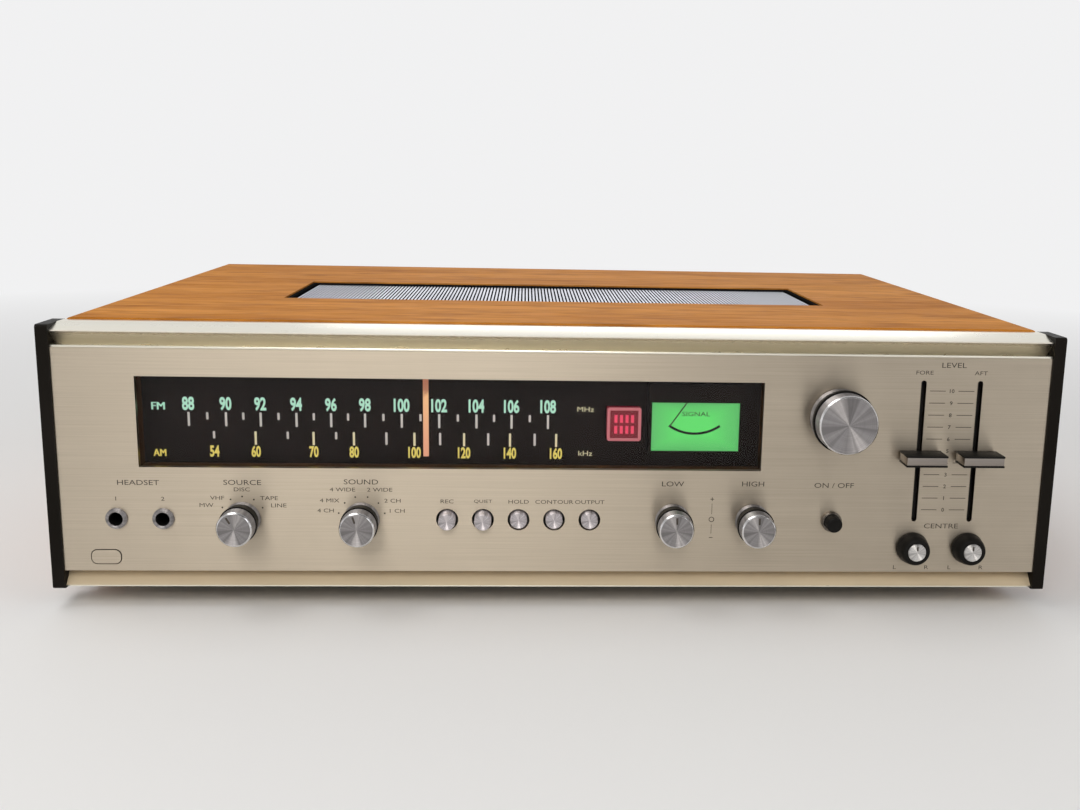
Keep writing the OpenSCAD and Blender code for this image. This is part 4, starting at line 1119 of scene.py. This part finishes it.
@dataclass
class Cabinet:
    """Wooden cabinet, end caps, rails and panel, with the slatted vent."""

    dressed: dict[str, Finish] = field(default_factory=lambda: {
        "cabinet_top": Finishes.VENEER_TOP, "cabinet_sides": Finishes.VENEER_SIDE,
        "vent_frame": Finishes.VENT, "front_panel": Finishes.PANEL,
        "end_caps": Finishes.END, "rubber_feet": Finishes.RUBBER, "case_screws": Finishes.STEEL})
    slat_pitch: float = 2.0
    slat_width: float = 1.15
    crown_width: float = 1.1
    crown_height: float = 0.25
    crown_drop: float = 1.15
    border: float = 3.0
    border_drop: float = 0.9
    bead: float = 1.2
    rail_recess: float = 9.5
    rail_thick: float = 3.0
    rail_leg: float = 2.5
    rail_lip: float = 0.6
    top_fall: float = 2.6
    bottom_fall: float = 0.8

    def vent(self) -> None:
        """Makes the vent grille: slats with bright crowns below the rim of the frame, black bodies under the
        crowns as painted shade between the slats, and a border.
        """
        low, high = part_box("vent_grille")
        inner = high - low
        count = int(inner.x / (self.slat_pitch * MM))
        crown_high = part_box("vent_frame")[1].z - self.crown_drop * MM
        crown_low = crown_high - self.crown_height * MM
        centre = (low + high) / 2
        start = centre.x - (count - 1) * self.slat_pitch * MM / 2
        louvre = Louvre()
        parts = []
        # The slat bodies are black as painted shade in the gaps between the slats; the crowns carry the
        # grille's painted light.
        for wide, bottom, top, finish in ((self.slat_width, low.z, crown_low, Finishes.VENT),
                                          (self.crown_width, crown_low, crown_high, Finishes.GRILLE)):
            parts.append(louvre.mesh({
                "Count": count, "Pitch": self.slat_pitch * MM, "Start": (start, centre.y, (bottom + top) / 2),
                "Size": (wide * MM, inner.y, top - bottom), "Finish": finish.material()}))
        box = Extent.of("vent_grille")
        for left, right, front, back in ((box.left, box.right, box.front, box.front + self.border),
                                         (box.left, box.right, box.back - self.border, box.back),
                                         (box.left, box.left + self.border, box.front, box.back),
                                         (box.right - self.border, box.right, box.front, box.back)):
            parts.append(block((left, front, box.bottom), (right, back, box.top - self.border_drop), 0.3))
        fit("vent_slats", parts, [Finishes.VENT, Finishes.GRILLE, Finishes.VENT], "receiver", "grille_metal",
            "vent_grille")

    def rails(self) -> None:
        """Makes the two trim rails, with a longer face and a bright lip on the bottom one."""
        rail, panel = Extent.of("trim_rails"), Extent.of("front_panel")
        nose, back = rail.front, self.rail_recess + self.rail_thick
        parts = []
        for edge, end, fall in ((panel.top, rail.top, self.top_fall),
                                (panel.bottom, rail.bottom, self.bottom_fall)):
            reveal = abs(end - edge)
            side = 1 if end > edge else -1
            inner = reveal - self.rail_thick
            section = [(panel.back, -self.rail_leg), (panel.back, 0), (self.rail_recess, 0),
                       (nose, reveal - fall - self.rail_lip), (nose, reveal - fall), (back, reveal),
                       (rail.back, reveal), (rail.back, inner), (back, inner), (back, -self.rail_leg)]
            parts.append(prism([(y, edge + side * rise) for y, rise in section], rail.left, rail.right))
        foot = rail.bottom + self.bottom_fall
        parts.append(block((rail.left, nose - 0.1, foot - 0.05),
                           (rail.right, nose + 0.6, foot + self.rail_lip), 0.1))
        fit("drawn_rails", parts, [Finishes.RAIL, Finishes.SATIN_RAIL, Finishes.EDGE], "receiver",
            "rail_metal", "trim_rails")

    def panel_edge(self) -> None:
        """Makes the bright rounded bead along the top edge of the panel."""
        panel = Extent.of("front_panel")
        bead = block((panel.left, panel.front, panel.top - 0.1),
                     (panel.right, panel.front + self.bead, panel.top + self.bead), self.bead * 0.45)
        fit("panel_edge", [bead], [Finishes.EDGE], "receiver", "rail_metal")

    def build(self) -> None:
        """Dresses the CAD nodes and makes the vent, the rails and the panel's bright edge."""
        for node, finish in self.dressed.items():
            dress_node(node, finish)
        self.vent()
        self.rails()
        self.panel_edge()


@dataclass
class TurnedKnob:
    """Knob with a bright base ring, a black band and skirt, and a bright turned cap with a mark."""

    name: str
    body: str
    radius: float
    ring: float
    band: float
    cap: float
    angle: float = 0.0
    marked: bool = True
    back: float = 0.4
    play: float = 0.02
    skirt: float = 0.55
    skirt_depth: float = 2.6

    def build(self) -> None:
        """Makes the cap, the ring, the skirt and the mark, and dresses the black body."""
        seat = Extent.of(f"{self.name}_cap")
        x, z, r = seat.x, seat.z, self.radius
        ring_y = self.back - self.ring
        band_y = ring_y - self.band
        face = band_y - self.cap + self.play
        bore, floor = r - 1.4, face + 1.2
        cup = spin(((0, face + 0.22), (r * 0.35, face + 0.2), (r - 1.15, face + 0.12), (r - 1.0, face + 0.02),
                    (r - 0.8, face), (r - 0.27, face + 0.5), (r - 0.06, face + 0.85), (r, face + 1.3),
                    (r, band_y - 0.25), (r - 0.2, band_y), (bore, band_y), (bore, floor), (0, floor)), x, z)
        core = r - 2.4
        ring = spin(((core, ring_y), (r - 0.25, ring_y), (r + 0.1, ring_y + 0.35),
                     (r + 0.1, self.back - 0.15), (r - 0.05, self.back), (core, self.back)), x, z,
                    closed=True)
        edge = spin(((r - 0.95, face + 0.03), (r - 0.8, face - 0.01), (r - 0.25, face + 0.47),
                     (r - 0.02, face + 0.88), (r - 0.3, face + 1.1), (r - 0.9, face + 0.5)), x, z,
                    closed=True)
        fit(f"{self.name}_bright", [cup, ring, edge], [Finishes.KNOB, Finishes.KNOB, Finishes.RIM], self.body,
            "knob_metal", f"{self.name}_cap")
        wide, end = r + self.skirt, band_y + self.skirt_depth
        skirt = spin(((r - 0.6, band_y), (wide - 0.3, band_y), (wide, band_y + 0.35), (wide, end - 0.6),
                      (wide - 0.5, end), (r - 0.6, end)), x, z, closed=True)
        fit(f"{self.name}_skirt", [skirt], [Finishes.BLACK], self.body, "black_plastic")
        if self.marked:
            line = block((x - 0.45, face + 0.02, z + r * 0.42), (x + 0.45, face + 0.4, z + r * 0.80), 0.05,
                         self.angle, (x, z))
            fit(f"{self.name}_mark", [line], [Finishes.INK], self.body, "black_plastic")
        dress_node(self.name, Finishes.BLACK)


@dataclass
class BalanceKnob:
    """Small black knob with a bright insert that has a mark."""

    side: str
    front: float = -8.0
    back: float = 0.4
    insert_radius: float = 4.4
    insert_depth: float = 1.2
    insert_rise: float = 0.4
    shaft: float = 3.0

    def build(self) -> None:
        """Makes the black body, the insert and the mark."""
        name = f"{self.side}_balance"
        box = Extent.of(f"{name}_knob")
        x, z, end = box.x, box.z, box.back
        front, back, r = self.front, self.back, self.insert_radius
        seat = front + self.insert_depth
        black = spin(((0, seat), (r + 0.03, seat), (r + 0.03, front + 0.3), (r + 0.3, front),
                      (5.6, front + 0.05), (6.3, front + 0.45), (6.8, front + 1.4), (7.3, front + 3.6),
                      (7.75, back - 1.6), (7.95, back - 0.7), (7.85, back), (self.shaft, back),
                      (self.shaft, end), (0, end)), x, z)
        fit(f"{name}_black", [black], [Finishes.BLACK], name, "black_plastic", f"{name}_knob")
        face = front - self.insert_rise
        disc = spin(((0, face + 0.1), (r * 0.5, face + 0.08), (r - 0.5, face), (r - 0.1, face + 0.35),
                     (r, face + 0.6), (r, seat), (0, seat)), x, z)
        fit(f"{name}_bright", [disc], [Finishes.INSERT], name, "knob_metal", f"{name}_insert")
        line = block((x - 0.4, face + 0.02, z + 1.1), (x + 0.4, face + 0.4, z + 3.3), 0.05)
        fit(f"{name}_mark", [line], [Finishes.INK], name, "black_plastic")


@dataclass
class VolumeSlider:
    """Slider knob: a bright band between two thin black plates, on a flat stem."""

    side: str
    plate: float = 0.95
    inset: float = 0.3
    back: float = -0.6
    stem: Point = (1.05, 2.0)

    def build(self) -> None:
        """Makes the plates, the band and the stem in the CAD node's own box."""
        node = f"{self.side}_volume_slider"
        box = Extent.of(node)
        x, z = box.x, box.z
        over, under = box.top - self.plate, box.bottom + self.plate
        band = block((box.left + self.inset, box.front + self.inset, under),
                     (box.right - self.inset, self.back, over), 0.08)
        upper = block((box.left, box.front, over), (box.right, self.back, box.top), 0.25)
        lower = block((box.left, box.front, box.bottom), (box.right, self.back, under), 0.25)
        wide, tall = self.stem
        stem = block((x - wide, self.back - 0.5, z - tall), (x + wide, box.back, z + tall), 0.1)
        fit(f"{self.side}_slider_knob", [band, upper, lower, stem], [Finishes.BAND, Finishes.BLACK],
            f"{self.side}_volume", "black_plastic", node)


@dataclass
class Buttons:
    """Five bright push buttons and the black power button, with the collar and the jacks' nuts."""

    count: int = 5
    radius: float = 4.1
    length: float = 12.0
    plunger: float = 1.75
    power_radius: float = 3.9
    power_step: float = 7.0
    jack_half: float = 7.0
    nut_radius: float = 5.0
    nut: float = 1.8
    collar: float = 2.2
    panel: float = 1.0
    steps: int = 64

    def push(self, number: int) -> None:
        """Makes one bright push button.

        Args:
            number: Its number from the left, from 1.
        """
        node = f"push_button_{number}"
        box = Extent.of(node)
        front, r, step = box.front, self.radius, box.front + self.length
        shape = spin(((0, front + 0.25), (r * 0.5, front + 0.22), (r - 0.9, front + 0.05), (r - 0.6, front),
                      (r - 0.15, front + 0.3), (r, front + 0.7), (r, step), (self.plunger, step),
                      (self.plunger, box.back), (0, box.back)), box.x, box.z, steps=self.steps)
        fit(f"{node}_bright", [shape], [Finishes.BUTTON], f"button_{number}", "knob_metal", node)

    def power(self) -> None:
        """Makes the black power button."""
        box = Extent.of("power_button")
        front, r, step = box.front, self.power_radius, self.panel + self.power_step
        shape = spin(((0, front + 0.5), (r * 0.45, front + 0.45), (r * 0.62, front + 0.1), (r - 0.9, front),
                      (r - 0.25, front + 0.35), (r, front + 1.0), (r, step), (self.plunger, step),
                      (self.plunger, box.back), (0, box.back)), box.x, box.z, steps=self.steps)
        fit("power_button_black", [shape], [Finishes.BLACK], "power", "black_plastic", "power_button")

    def nuts(self) -> None:
        """Makes the nuts of the phone jacks and the collar of the power button."""
        jacks = Extent.of("phone_jacks")
        front, r = self.panel - self.nut, self.nut_radius
        nut = ((3.3, front - 0.05), (3.45, front - 0.25), (4.1, front - 0.3), (r - 0.35, front + 0.1),
               (r, front + 0.5), (r, self.panel), (4.45, self.panel), (4.45, front - 0.05))
        parts = [spin(nut, x, jacks.z, closed=True, steps=self.steps)
                 for x in (jacks.left + self.jack_half, jacks.right - self.jack_half)]
        inner, outer = self.power_radius + 0.16, self.power_radius + 1.05
        front = self.panel - self.collar
        collar = ((inner, front), (outer - 0.25, front), (outer, front + 0.3), (outer, self.panel),
                  (inner, self.panel))
        parts.append(spin(collar, Extent.of("power_button").x, jacks.z, closed=True, steps=self.steps))
        fit("nuts_and_collar", parts, [Finishes.KNOB, Finishes.KNOB, Finishes.COLLAR], "receiver",
            "bright_steel", "panel_bushes")
        dress_node("phone_jacks", Finishes.BLACK)

    def build(self) -> None:
        """Makes all the buttons, the nuts and the collar."""
        for number in range(1, self.count + 1):
            self.push(number)
        self.power()
        self.nuts()


@dataclass
class Dial:
    """Lit tuning dial behind the window: scale print, pointer, lamp lens and meter."""

    dressed: dict[str, Finish] = field(default_factory=lambda: {
        "dial_window": Finishes.PANE, "dial_housing": Finishes.HOUSING, "dial_scale_plate": Finishes.SCALE,
        "pilot_lamps": Finishes.BULB, "dial_cords": Finishes.CORD, "meter_case": Finishes.SCALE,
        "meter_needle": Finishes.INK})
    plate: float = 15.0
    fm_marks: dict[str, float] = field(default_factory=lambda: {
        "88": -178.4, "90": -160.8, "92": -144.4, "94": -127.4, "96": -110.9, "98": -94.7, "100": -77.1,
        "102": -59.1, "104": -41.1, "106": -24.1, "108": -6.4})
    am_marks: dict[str, float] = field(default_factory=lambda: {
        "54": -166.8, "60": -147.1, "70": -119.5, "80": -100.2, "100": -71.1, "120": -47.1, "140": -24.8,
        "160": -2.3})
    am_short: tuple[float, ...] = (-166.8, -131.8, -108.7)
    am_long: tuple[float, ...] = (-84.6, -58.7, -35.4, -12.8)
    mark_width: float = 1.05
    lens_rim: float = 1.45
    lens_step: float = 2.7
    lens_bar: Point = (1.5, 3.9)
    meter_wall: float = 1.4
    card_height: float = 24.0
    card_depth: float = 4.0
    card_rise: float = 3.0
    card_skin: float = 0.15
    arc_pivot: float = 5.8
    arc_radius: float = 21.8
    arc_sweep: float = 70.0
    arc_steps: int = 24
    arc_half: float = 0.6
    pointer_half: float = 1.3
    pointer_thick: float = 1.2
    pointer_tip: float = 2.7
    pointer_dim: float = 103.5
    mint: Lit = Lit("mint_print", (0.36, 0.63, 0.50, 1), (0.31, 0.55, 0.44, 1), 0.95)
    yellow: Lit = Lit("yellow_print", (0.62, 0.51, 0.11, 1), (0.54, 0.44, 0.09, 1), 0.95)
    cream: Lit = Lit("cream_print", (0.56, 0.51, 0.32, 1), (0.48, 0.44, 0.27, 1), 0.95)
    white: Lit = Lit("white_print", (0.48, 0.46, 0.43, 1), (0.40, 0.38, 0.36, 1), 0.9)
    pink: Lit = Lit("lens_frame", (0.46, 0.13, 0.15, 1), (0.40, 0.095, 0.115, 1), 0.9)
    hot: Lit = Lit("lens_bars", (0.74, 0.05, 0.115, 1), (0.62, 0.04, 0.09, 1), 0.9)

    def numbers(self) -> None:
        """Makes the numbers, band names and units of the two scales."""
        upper = [Word(label, x, 98.1, height=6.7, stretch=0.66, weight=0.035)
                 for label, x in self.fm_marks.items()]
        upper += [Word("FM", -192.5 + shift, 96.8, height=3.6, stretch=1.05) for shift in (-0.18, 0.18)]
        lower = [Word(label, x, 74.8, height=5.7, stretch=0.62, weight=0.035)
                 for label, x in self.am_marks.items()]
        lower += [Word("AM", -192.8 + shift, 73.9, height=3.5, stretch=0.84) for shift in (-0.15, 0.15)]
        units = [Word("MHz", 11.9, 97.0, height=2.5, stretch=1.2),
                 Word("kHz", 12.1, 75.0, height=2.5, stretch=1.2)]
        for name, words, finish in (("upper_numbers", upper, self.mint),
                                    ("lower_numbers", lower, self.yellow),
                                    ("unit_names", units, self.cream)):
            fit(name, [word.mesh(self.plate) for word in words], [finish], "receiver", "scale_plate")

    def ticks(self) -> None:
        """Makes the marks of the two scales."""
        upper = list(self.fm_marks.values())
        between = [(first + second) / 2 for first, second in zip(upper, upper[1:])]
        lower = [x for label, x in self.am_marks.items() if label != "54"]
        for name, places, low, high, finish in (
                ("upper_marks", upper, 87.1, 93.9, self.white),
                ("upper_short_marks", between, 90.4, 93.8, self.white),
                ("lower_marks", lower, 78.1, 84.6, self.cream),
                ("lower_plain_marks", self.am_long, 78.6, 84.6, self.white),
                ("lower_short_marks", self.am_short, 81.1, 84.6, self.white)):
            points = [place(x, self.plate, (low + high) / 2) for x in places]
            mesh = Stamp.of(Shape.BAR).mesh(points, (self.mark_width, PRINT_DEPTH, high - low), finish)
            fit(name, [mesh], [finish], "receiver", "scale_plate")

    def lamp(self) -> None:
        """Makes the pale frame and the bars on the red lens."""
        lens = Extent.of("indicator_lens")
        x, z, front = lens.x, lens.z, lens.front
        half = (lens.right - lens.left) / 2
        inner = half - 0.6
        dress_node("indicator_lens", Lit(
            "lamp_crimson", (0.17, 0.003, 0.013, 1), (0.10, 0.002, 0.008, 1), 1.0, tuple(place(x, 0, z)),
            (half * MM, 1.0, half * MM), 0.2))
        rim = []
        for near, far in ((-half, self.lens_rim - half), (half - self.lens_rim, half)):
            rim.append(block((x + near, front - 0.12, z - inner), (x + far, front + 0.2, z + inner), 0.1))
            rim.append(block((x - inner, front - 0.12, z + near), (x + inner, front + 0.2, z + far), 0.1))
        fit("lens_frame", rim, [self.pink], "receiver", "lens_red")
        points = [place(x + (column - 1.5) * self.lens_step, front, z + row * self.lens_step)
                  for column in range(4) for row in (-1, 1)]
        size = (self.lens_bar[0], PRINT_DEPTH, self.lens_bar[1])
        bars = Stamp.of(Shape.BAR).mesh(points, size, self.hot)
        fit("lens_bars", [bars], [self.hot], "receiver", "lens_red")

    def meter(self) -> None:
        """Makes the lit card of the meter with its arc and word."""
        case = Extent.of("meter_case")
        left, right = case.left + self.meter_wall, case.right - self.meter_wall
        z0 = case.bottom + self.meter_wall
        x, z1 = case.x, z0 + self.card_height
        card = case.front + self.card_depth
        rim = card - self.card_rise
        skin = self.card_skin
        green = Lit("meter_card", (0.094, 0.60, 0.125, 1), (0.085, 0.36, 0.115, 1), 1.0,
                    tuple(place(x, 0, (z0 + z1) / 2)),
                    ((right - left) / 2 * MM, 1.0, self.card_height / 2 * MM), 0.35)
        parts = [block((left, card - 0.1, z0), (right, card + 0.05, z1)),
                 block((left, rim, z0), (left + skin, card, z1)),
                 block((right - skin, rim, z0), (right, card, z1)),
                 block((left, rim, z0), (right, card, z0 + skin))]
        fit("meter_card", parts, [green], "receiver", "meter_plastic")
        pivot = z1 + self.arc_pivot
        low, high = pivot - self.arc_radius - self.arc_half, pivot - self.arc_radius + self.arc_half
        wide = math.radians(self.arc_sweep / self.arc_steps) * self.arc_radius / 2 + 0.03
        arc = []
        for step in range(self.arc_steps):
            turn = self.arc_sweep * ((step + 0.5) / self.arc_steps - 0.5)
            arc.append(block((x - wide, card - 0.16, low), (x + wide, card - 0.06, high), turn=turn,
                             about=(x, pivot)))
        fit("meter_arc", arc, [Finishes.PAINT], "receiver", "black_metal")
        word = Word("SIGNAL", x + 0.6, z1 - 6.2, height=2.2, stretch=1.3).mesh(card - 0.1)
        fit("meter_word", [word], [Finishes.INK], "receiver", "black_metal")

    def pointer(self) -> None:
        """Lights the pointer, dim in its upper part, and makes its lower tip."""
        box = Extent.of("dial_pointer")
        x, end, tall = box.x, box.bottom, box.top - box.bottom
        start = (self.pointer_dim - end) / tall
        glow = Lit("pointer_glow", (0.84, 0.48, 0.23, 1), (0.36, 0.115, 0.07, 1), 0.85,
                   (x * MM, 0.0, end * MM), (0.01, 1.0, tall * MM), start, start + 0.04,
                   (0.70, 0.29, 0.20, 1))
        dress_node("dial_pointer", glow)
        tip = block((x - self.pointer_half, box.front, end - self.pointer_tip),
                    (x + self.pointer_half, box.front + self.pointer_thick, end), 0.15)
        fit("pointer_tip", [tip], [glow], "pointer", "pointer_plastic")

    def build(self) -> None:
        """Makes the dial's print and dresses its CAD nodes."""
        self.numbers()
        self.ticks()
        self.lamp()
        self.meter()
        self.pointer()
        for node, finish in self.dressed.items():
            dress_node(node, finish)


@dataclass
class PanelPrint:
    """Dark print on the front panel: generic words, numbers, dots and lines."""

    face: float = 1.0
    title: float = 2.45
    small: float = 1.9
    stretch: float = 1.35
    titles: tuple[tuple[str, float, float], ...] = (
        ("HEADSET", -199.6, 62.5), ("SOURCE", -151.2, 62.8), ("SOUND", -95.4, 63.4), ("LOW", 54.2, 63.3),
        ("HIGH", 93.3, 63.5), ("ON / OFF", 133.2, 63.0), ("LEVEL", 188.2, 122.9), ("CENTRE", 187.8, 42.7))
    words: tuple[tuple[str, float, float], ...] = (
        ("1", -210.4, 54.6), ("2", -188.6, 54.6), ("FORE", 174.0, 119.2), ("AFT", 201.6, 119.2),
        ("DISC", -151.5, 59.4), ("VHF", -163.2, 55.2), ("MW", -168.3, 51.6), ("TAPE", -138.9, 55.2),
        ("LINE", -134.4, 51.6), ("4 WIDE", -104.2, 59.6), ("2 WIDE", -86.6, 59.6), ("4 MIX", -110.4, 54.2),
        ("2 CH", -80.6, 54.2), ("4 CH", -112.4, 49.2), ("1 CH", -78.4, 49.2), ("REC", -54.6, 54.0),
        ("QUIET", -37.4, 54.0), ("HOLD", -20.3, 54.0), ("CONTOUR", -3.1, 54.0), ("OUTPUT", 14.0, 54.0),
        ("L", 166.0, 21.4), ("R", 182.0, 21.4), ("L", 193.6, 21.4), ("R", 209.6, 21.4))
    scale_low: float = 51.0
    scale_high: float = 110.3
    scale_x: float = 188.0
    scale_top: int = 10
    line_far: float = 10.9
    line_near: float = 3.1
    line_height: float = 0.3
    tone_x: float = 73.6
    plus_z: float = 55.8
    minus_z: float = 36.4
    circle_z: float = 45.6
    tone_lines: tuple[Point, ...] = ((48.2, 53.6), (38.4, 43.0))
    dot_radius: float = 0.42
    plate_at: Point = (-216.3, 25.9)
    plate_size: Point = (14.4, 7.4)
    plate_rim: float = 0.7

    def rungs(self) -> list[float]:
        """Gives the heights of the slider scale's numbers, from 0 up."""
        step = (self.scale_high - self.scale_low) / self.scale_top
        return [self.scale_low + number * step for number in range(self.scale_top + 1)]

    def labels(self) -> list[bpy.types.Mesh]:
        """Makes the words and the numbers of the slider scale.

        Returns:
            Their meshes.
        """
        made = [Word(text, x, z, height, self.stretch)
                for height, words in ((self.title, self.titles), (self.small, self.words))
                for text, x, z in words]
        made += [Word(str(number), self.scale_x, z, self.small, 1.1, 0.012)
                 for number, z in enumerate(self.rungs())]
        return [word.mesh(self.face) for word in made]

    def tone_legend(self) -> list[bpy.types.Mesh]:
        """Makes the plus, circle and minus between the two tone knobs.

        Returns:
            Their meshes.
        """
        x, front, back = self.tone_x, self.face - PRINT_DEPTH / 2, self.face + PRINT_DEPTH / 2
        strokes = ((self.plus_z, 0.9, 0.17), (self.plus_z, 0.17, 0.9), (self.minus_z, 0.9, 0.17))
        made = [block((x - wide, front, z - tall), (x + wide, back, z + tall)) for z, wide, tall in strokes]
        made += [block((x - 0.11, front, low), (x + 0.11, back, high)) for low, high in self.tone_lines]
        ring = ((1.0, front), (1.35, front), (1.35, back), (1.0, back))
        made.append(spin(ring, x, self.circle_z, closed=True, steps=40))
        return made

    def dots(self) -> list[Vector]:
        """Gives the places of the dots round the two switches.

        Returns:
            Points in the frame.
        """
        made = []
        for node, radius, angles in (("selector_knob_cap", 10.9, range(-60, 61, 30)),
                                     ("mode_knob_cap", 11.3, range(-75, 76, 30))):
            knob = Extent.of(node)
            for angle in angles:
                turn = math.radians(angle)
                across, up = radius * math.sin(turn), radius * math.cos(turn)
                made.append(place(knob.x + across, self.face, knob.z + up))
        return made

    def plaque(self) -> None:
        """Makes a bare bright plate with round ends and a dark edge in the lower left corner."""
        rim = pill(self.plate_at, self.plate_size, self.face - 0.3, self.face + 0.1, 0.1)
        inner = (self.plate_size[0] - self.plate_rim, self.plate_size[1] - self.plate_rim)
        plain = pill(self.plate_at, inner, self.face - 0.36, self.face, 0.05)
        fit("bare_plate", [rim, plain], [Finishes.COLLAR, Finishes.PANEL], "receiver", "panel_metal")

    def build(self) -> None:
        """Makes all the print on the panel."""
        away = (self.line_far + self.line_near) / 2
        lines = [place(self.scale_x + side * away, self.face, z) for z in self.rungs() for side in (-1, 1)]
        line = (self.line_far - self.line_near, PRINT_DEPTH, self.line_height)
        parts = self.labels() + self.tone_legend()
        parts.append(Stamp.of(Shape.BAR).mesh(lines, line, Finishes.INK))
        parts.append(Stamp.of(Shape.DOT).mesh(self.dots(), (self.dot_radius, PRINT_DEPTH, 0.0), Finishes.INK))
        fit("panel_print", parts, [Finishes.INK], "receiver", "black_plastic")
        self.plaque()


@dataclass
class RearAndInside:
    """Rear fittings, chassis and the works inside."""

    dressed: dict[str, Finish] = field(default_factory=lambda: {
        "upper_idler_pulley": Finishes.PULLEY, "lower_idler_pulley": Finishes.PULLEY,
        "cord_drum": Finishes.PULLEY, "tuning_shaft": Finishes.STEEL, "tuning_capacitor": Finishes.ZINC,
        "panel_potentiometers": Finishes.CONTROL, "panel_switches": Finishes.ZINC, "sub_panel": Finishes.ZINC,
        "chassis_pan": Finishes.ZINC, "rear_panel": Finishes.PAINT, "power_transformer": Finishes.COIL,
        "filter_capacitors": Finishes.SLEEVE, "heat_sink": Finishes.PAINT, "circuit_boards": Finishes.BOARD,
        "phono_sockets": Finishes.STEEL, "wire_terminals": Finishes.BLACK, "mains_fittings": Finishes.BLACK,
        "aerial_bar": Finishes.FERRITE})
    columns: int = 8
    socket_half: float = 6.0
    number_height: float = 2.4
    number_rise: float = 4.0
    screw_inset: Point = (6.0, 5.0)
    screw: Point = (3.0, 1.6)
    terminal: Point = (62.0, 16.0)
    terminal_gap: float = 9.0
    terminal_keys: int = 4
    key: Triple = (10.0, 1.2, 10.5)
    key_out: float = 8.6
    aerial_screw: Point = (3.2, 1.2)
    aerial_out: float = 9.0
    aerial_rise: float = 6.0

    def socket_columns(self) -> list[float]:
        """Gives the places of the phono sockets' columns, from the left of the front.

        Returns:
            X of each column, in millimetres.
        """
        box = Extent.of("phono_sockets")
        step = (box.right - box.left - 2 * self.socket_half) / (self.columns - 1)
        return [box.left + self.socket_half + number * step for number in range(self.columns)]

    def rear_print(self) -> None:
        """Makes plain column numbers over the phono sockets."""
        z = Extent.of("phono_sockets").top + self.number_rise
        face = Extent.of("rear_panel").back
        turn = Matrix.Rotation(math.pi, 4, "Z")
        words = []
        for number, x in enumerate(reversed(self.socket_columns()), 1):
            mesh = Word(str(number), 0.0, 0.0, self.number_height).mesh(0.0)
            spot = Matrix.Translation(place(x, face, z))
            mesh.transform(spot @ turn @ Matrix.Translation(-place(0, 0, 0)))
            words.append(mesh)
        fit("rear_numbers", words, [Finishes.PALE_INK], "receiver", "black_metal")

    def screws(self) -> None:
        """Makes the screws at the rear panel's corners."""
        box = Extent.of("rear_panel")
        across, up = self.screw_inset
        radius, depth = self.screw
        points = [place(x, box.back + depth / 2, z) for x in (box.left + across, box.right - across)
                  for z in (box.bottom + up, box.top - up)]
        heads = Stamp.of(Shape.DOT).mesh(points, (radius, depth, 0.0), Finishes.STEEL)
        fit("rear_screws", [heads], [Finishes.STEEL], "receiver", "bright_steel")

    def keys(self) -> None:
        """Makes the push keys of the wire terminals and the screws of the aerial strip."""
        box = Extent.of("wire_terminals")
        rear = Extent.of("rear_panel").back
        wide, tall = self.terminal
        pitch = wide / self.terminal_keys
        steps = [(number + 0.5) * pitch for number in range(self.terminal_keys)]
        spots: dict[Finish, list[Vector]] = {Finishes.TERMINAL: [], Finishes.CONTROL: []}
        for column in (0, 1):
            for row in (0, 1):
                z = box.top - (tall / 2 + row * (tall + self.terminal_gap))
                for number, step in enumerate(steps):
                    x = box.left + column * (wide + self.terminal_gap) + step
                    finish = Finishes.CONTROL if number % 2 else Finishes.TERMINAL
                    spots[finish].append(place(x, rear + self.key_out, z))
        parts = [Stamp.of(Shape.KEY).mesh(points, self.key, finish) for finish, points in spots.items()]
        fit("terminal_keys", parts, list(spots), "receiver", "terminal_plastic")
        z = box.bottom + self.aerial_rise
        points = [place(box.left + step, rear + self.aerial_out, z) for step in steps]
        heads = Stamp.of(Shape.DOT).mesh(points, (*self.aerial_screw, 0.0), Finishes.STEEL)
        fit("aerial_screws", [heads], [Finishes.STEEL], "receiver", "bright_steel")

    def socket_rings(self) -> None:
        """Makes a moulded ring in the mouth of each phono socket, one colour for each row."""
        box = Extent.of("phono_sockets")
        mouth = box.back
        ring = ((1.7, mouth - 0.3), (3.3, mouth - 0.3), (3.3, mouth + 0.05), (3.1, mouth + 0.2),
                (1.9, mouth + 0.2), (1.7, mouth + 0.05))
        parts, finishes = [], []
        for z, finish in ((box.bottom + self.socket_half, Finishes.RED_RING),
                          (box.top - self.socket_half, Finishes.PULLEY)):
            parts += [spin(ring, x, z, closed=True, steps=24) for x in self.socket_columns()]
            finishes += [finish] * self.columns
        fit("socket_rings", parts, finishes, "receiver", "pulley_plastic")

    def build(self) -> None:
        """Dresses the CAD nodes and makes the details of the rear panel."""
        for node, finish in self.dressed.items():
            dress_node(node, finish)
        self.rear_print()
        self.screws()
        self.keys()
        self.socket_rings()


def main() -> None:
    """Builds the stage and the receiver, and reports each piece."""
    logging.basicConfig(level=logging.INFO, format="%(message)s")
    Studio().build()
    Cabinet().build()
    for name, angle in (("selector", -30.0), ("mode", -15.0), ("bass", 0.0), ("treble", 0.0)):
        TurnedKnob(f"{name}_knob", name, radius=8.4, ring=3.8, band=7.2, cap=7.9, angle=angle).build()
    TurnedKnob("tuning_knob", "tuning", radius=14.2, ring=4.6, band=6.0, cap=8.8, marked=False,
               skirt=0.9).build()
    for side in ("front", "rear"):
        BalanceKnob(side).build()
        VolumeSlider(side).build()
    Buttons().build()
    Dial().build()
    PanelPrint().build()
    RearAndInside().build()


if __name__ == "__main__":
    main()
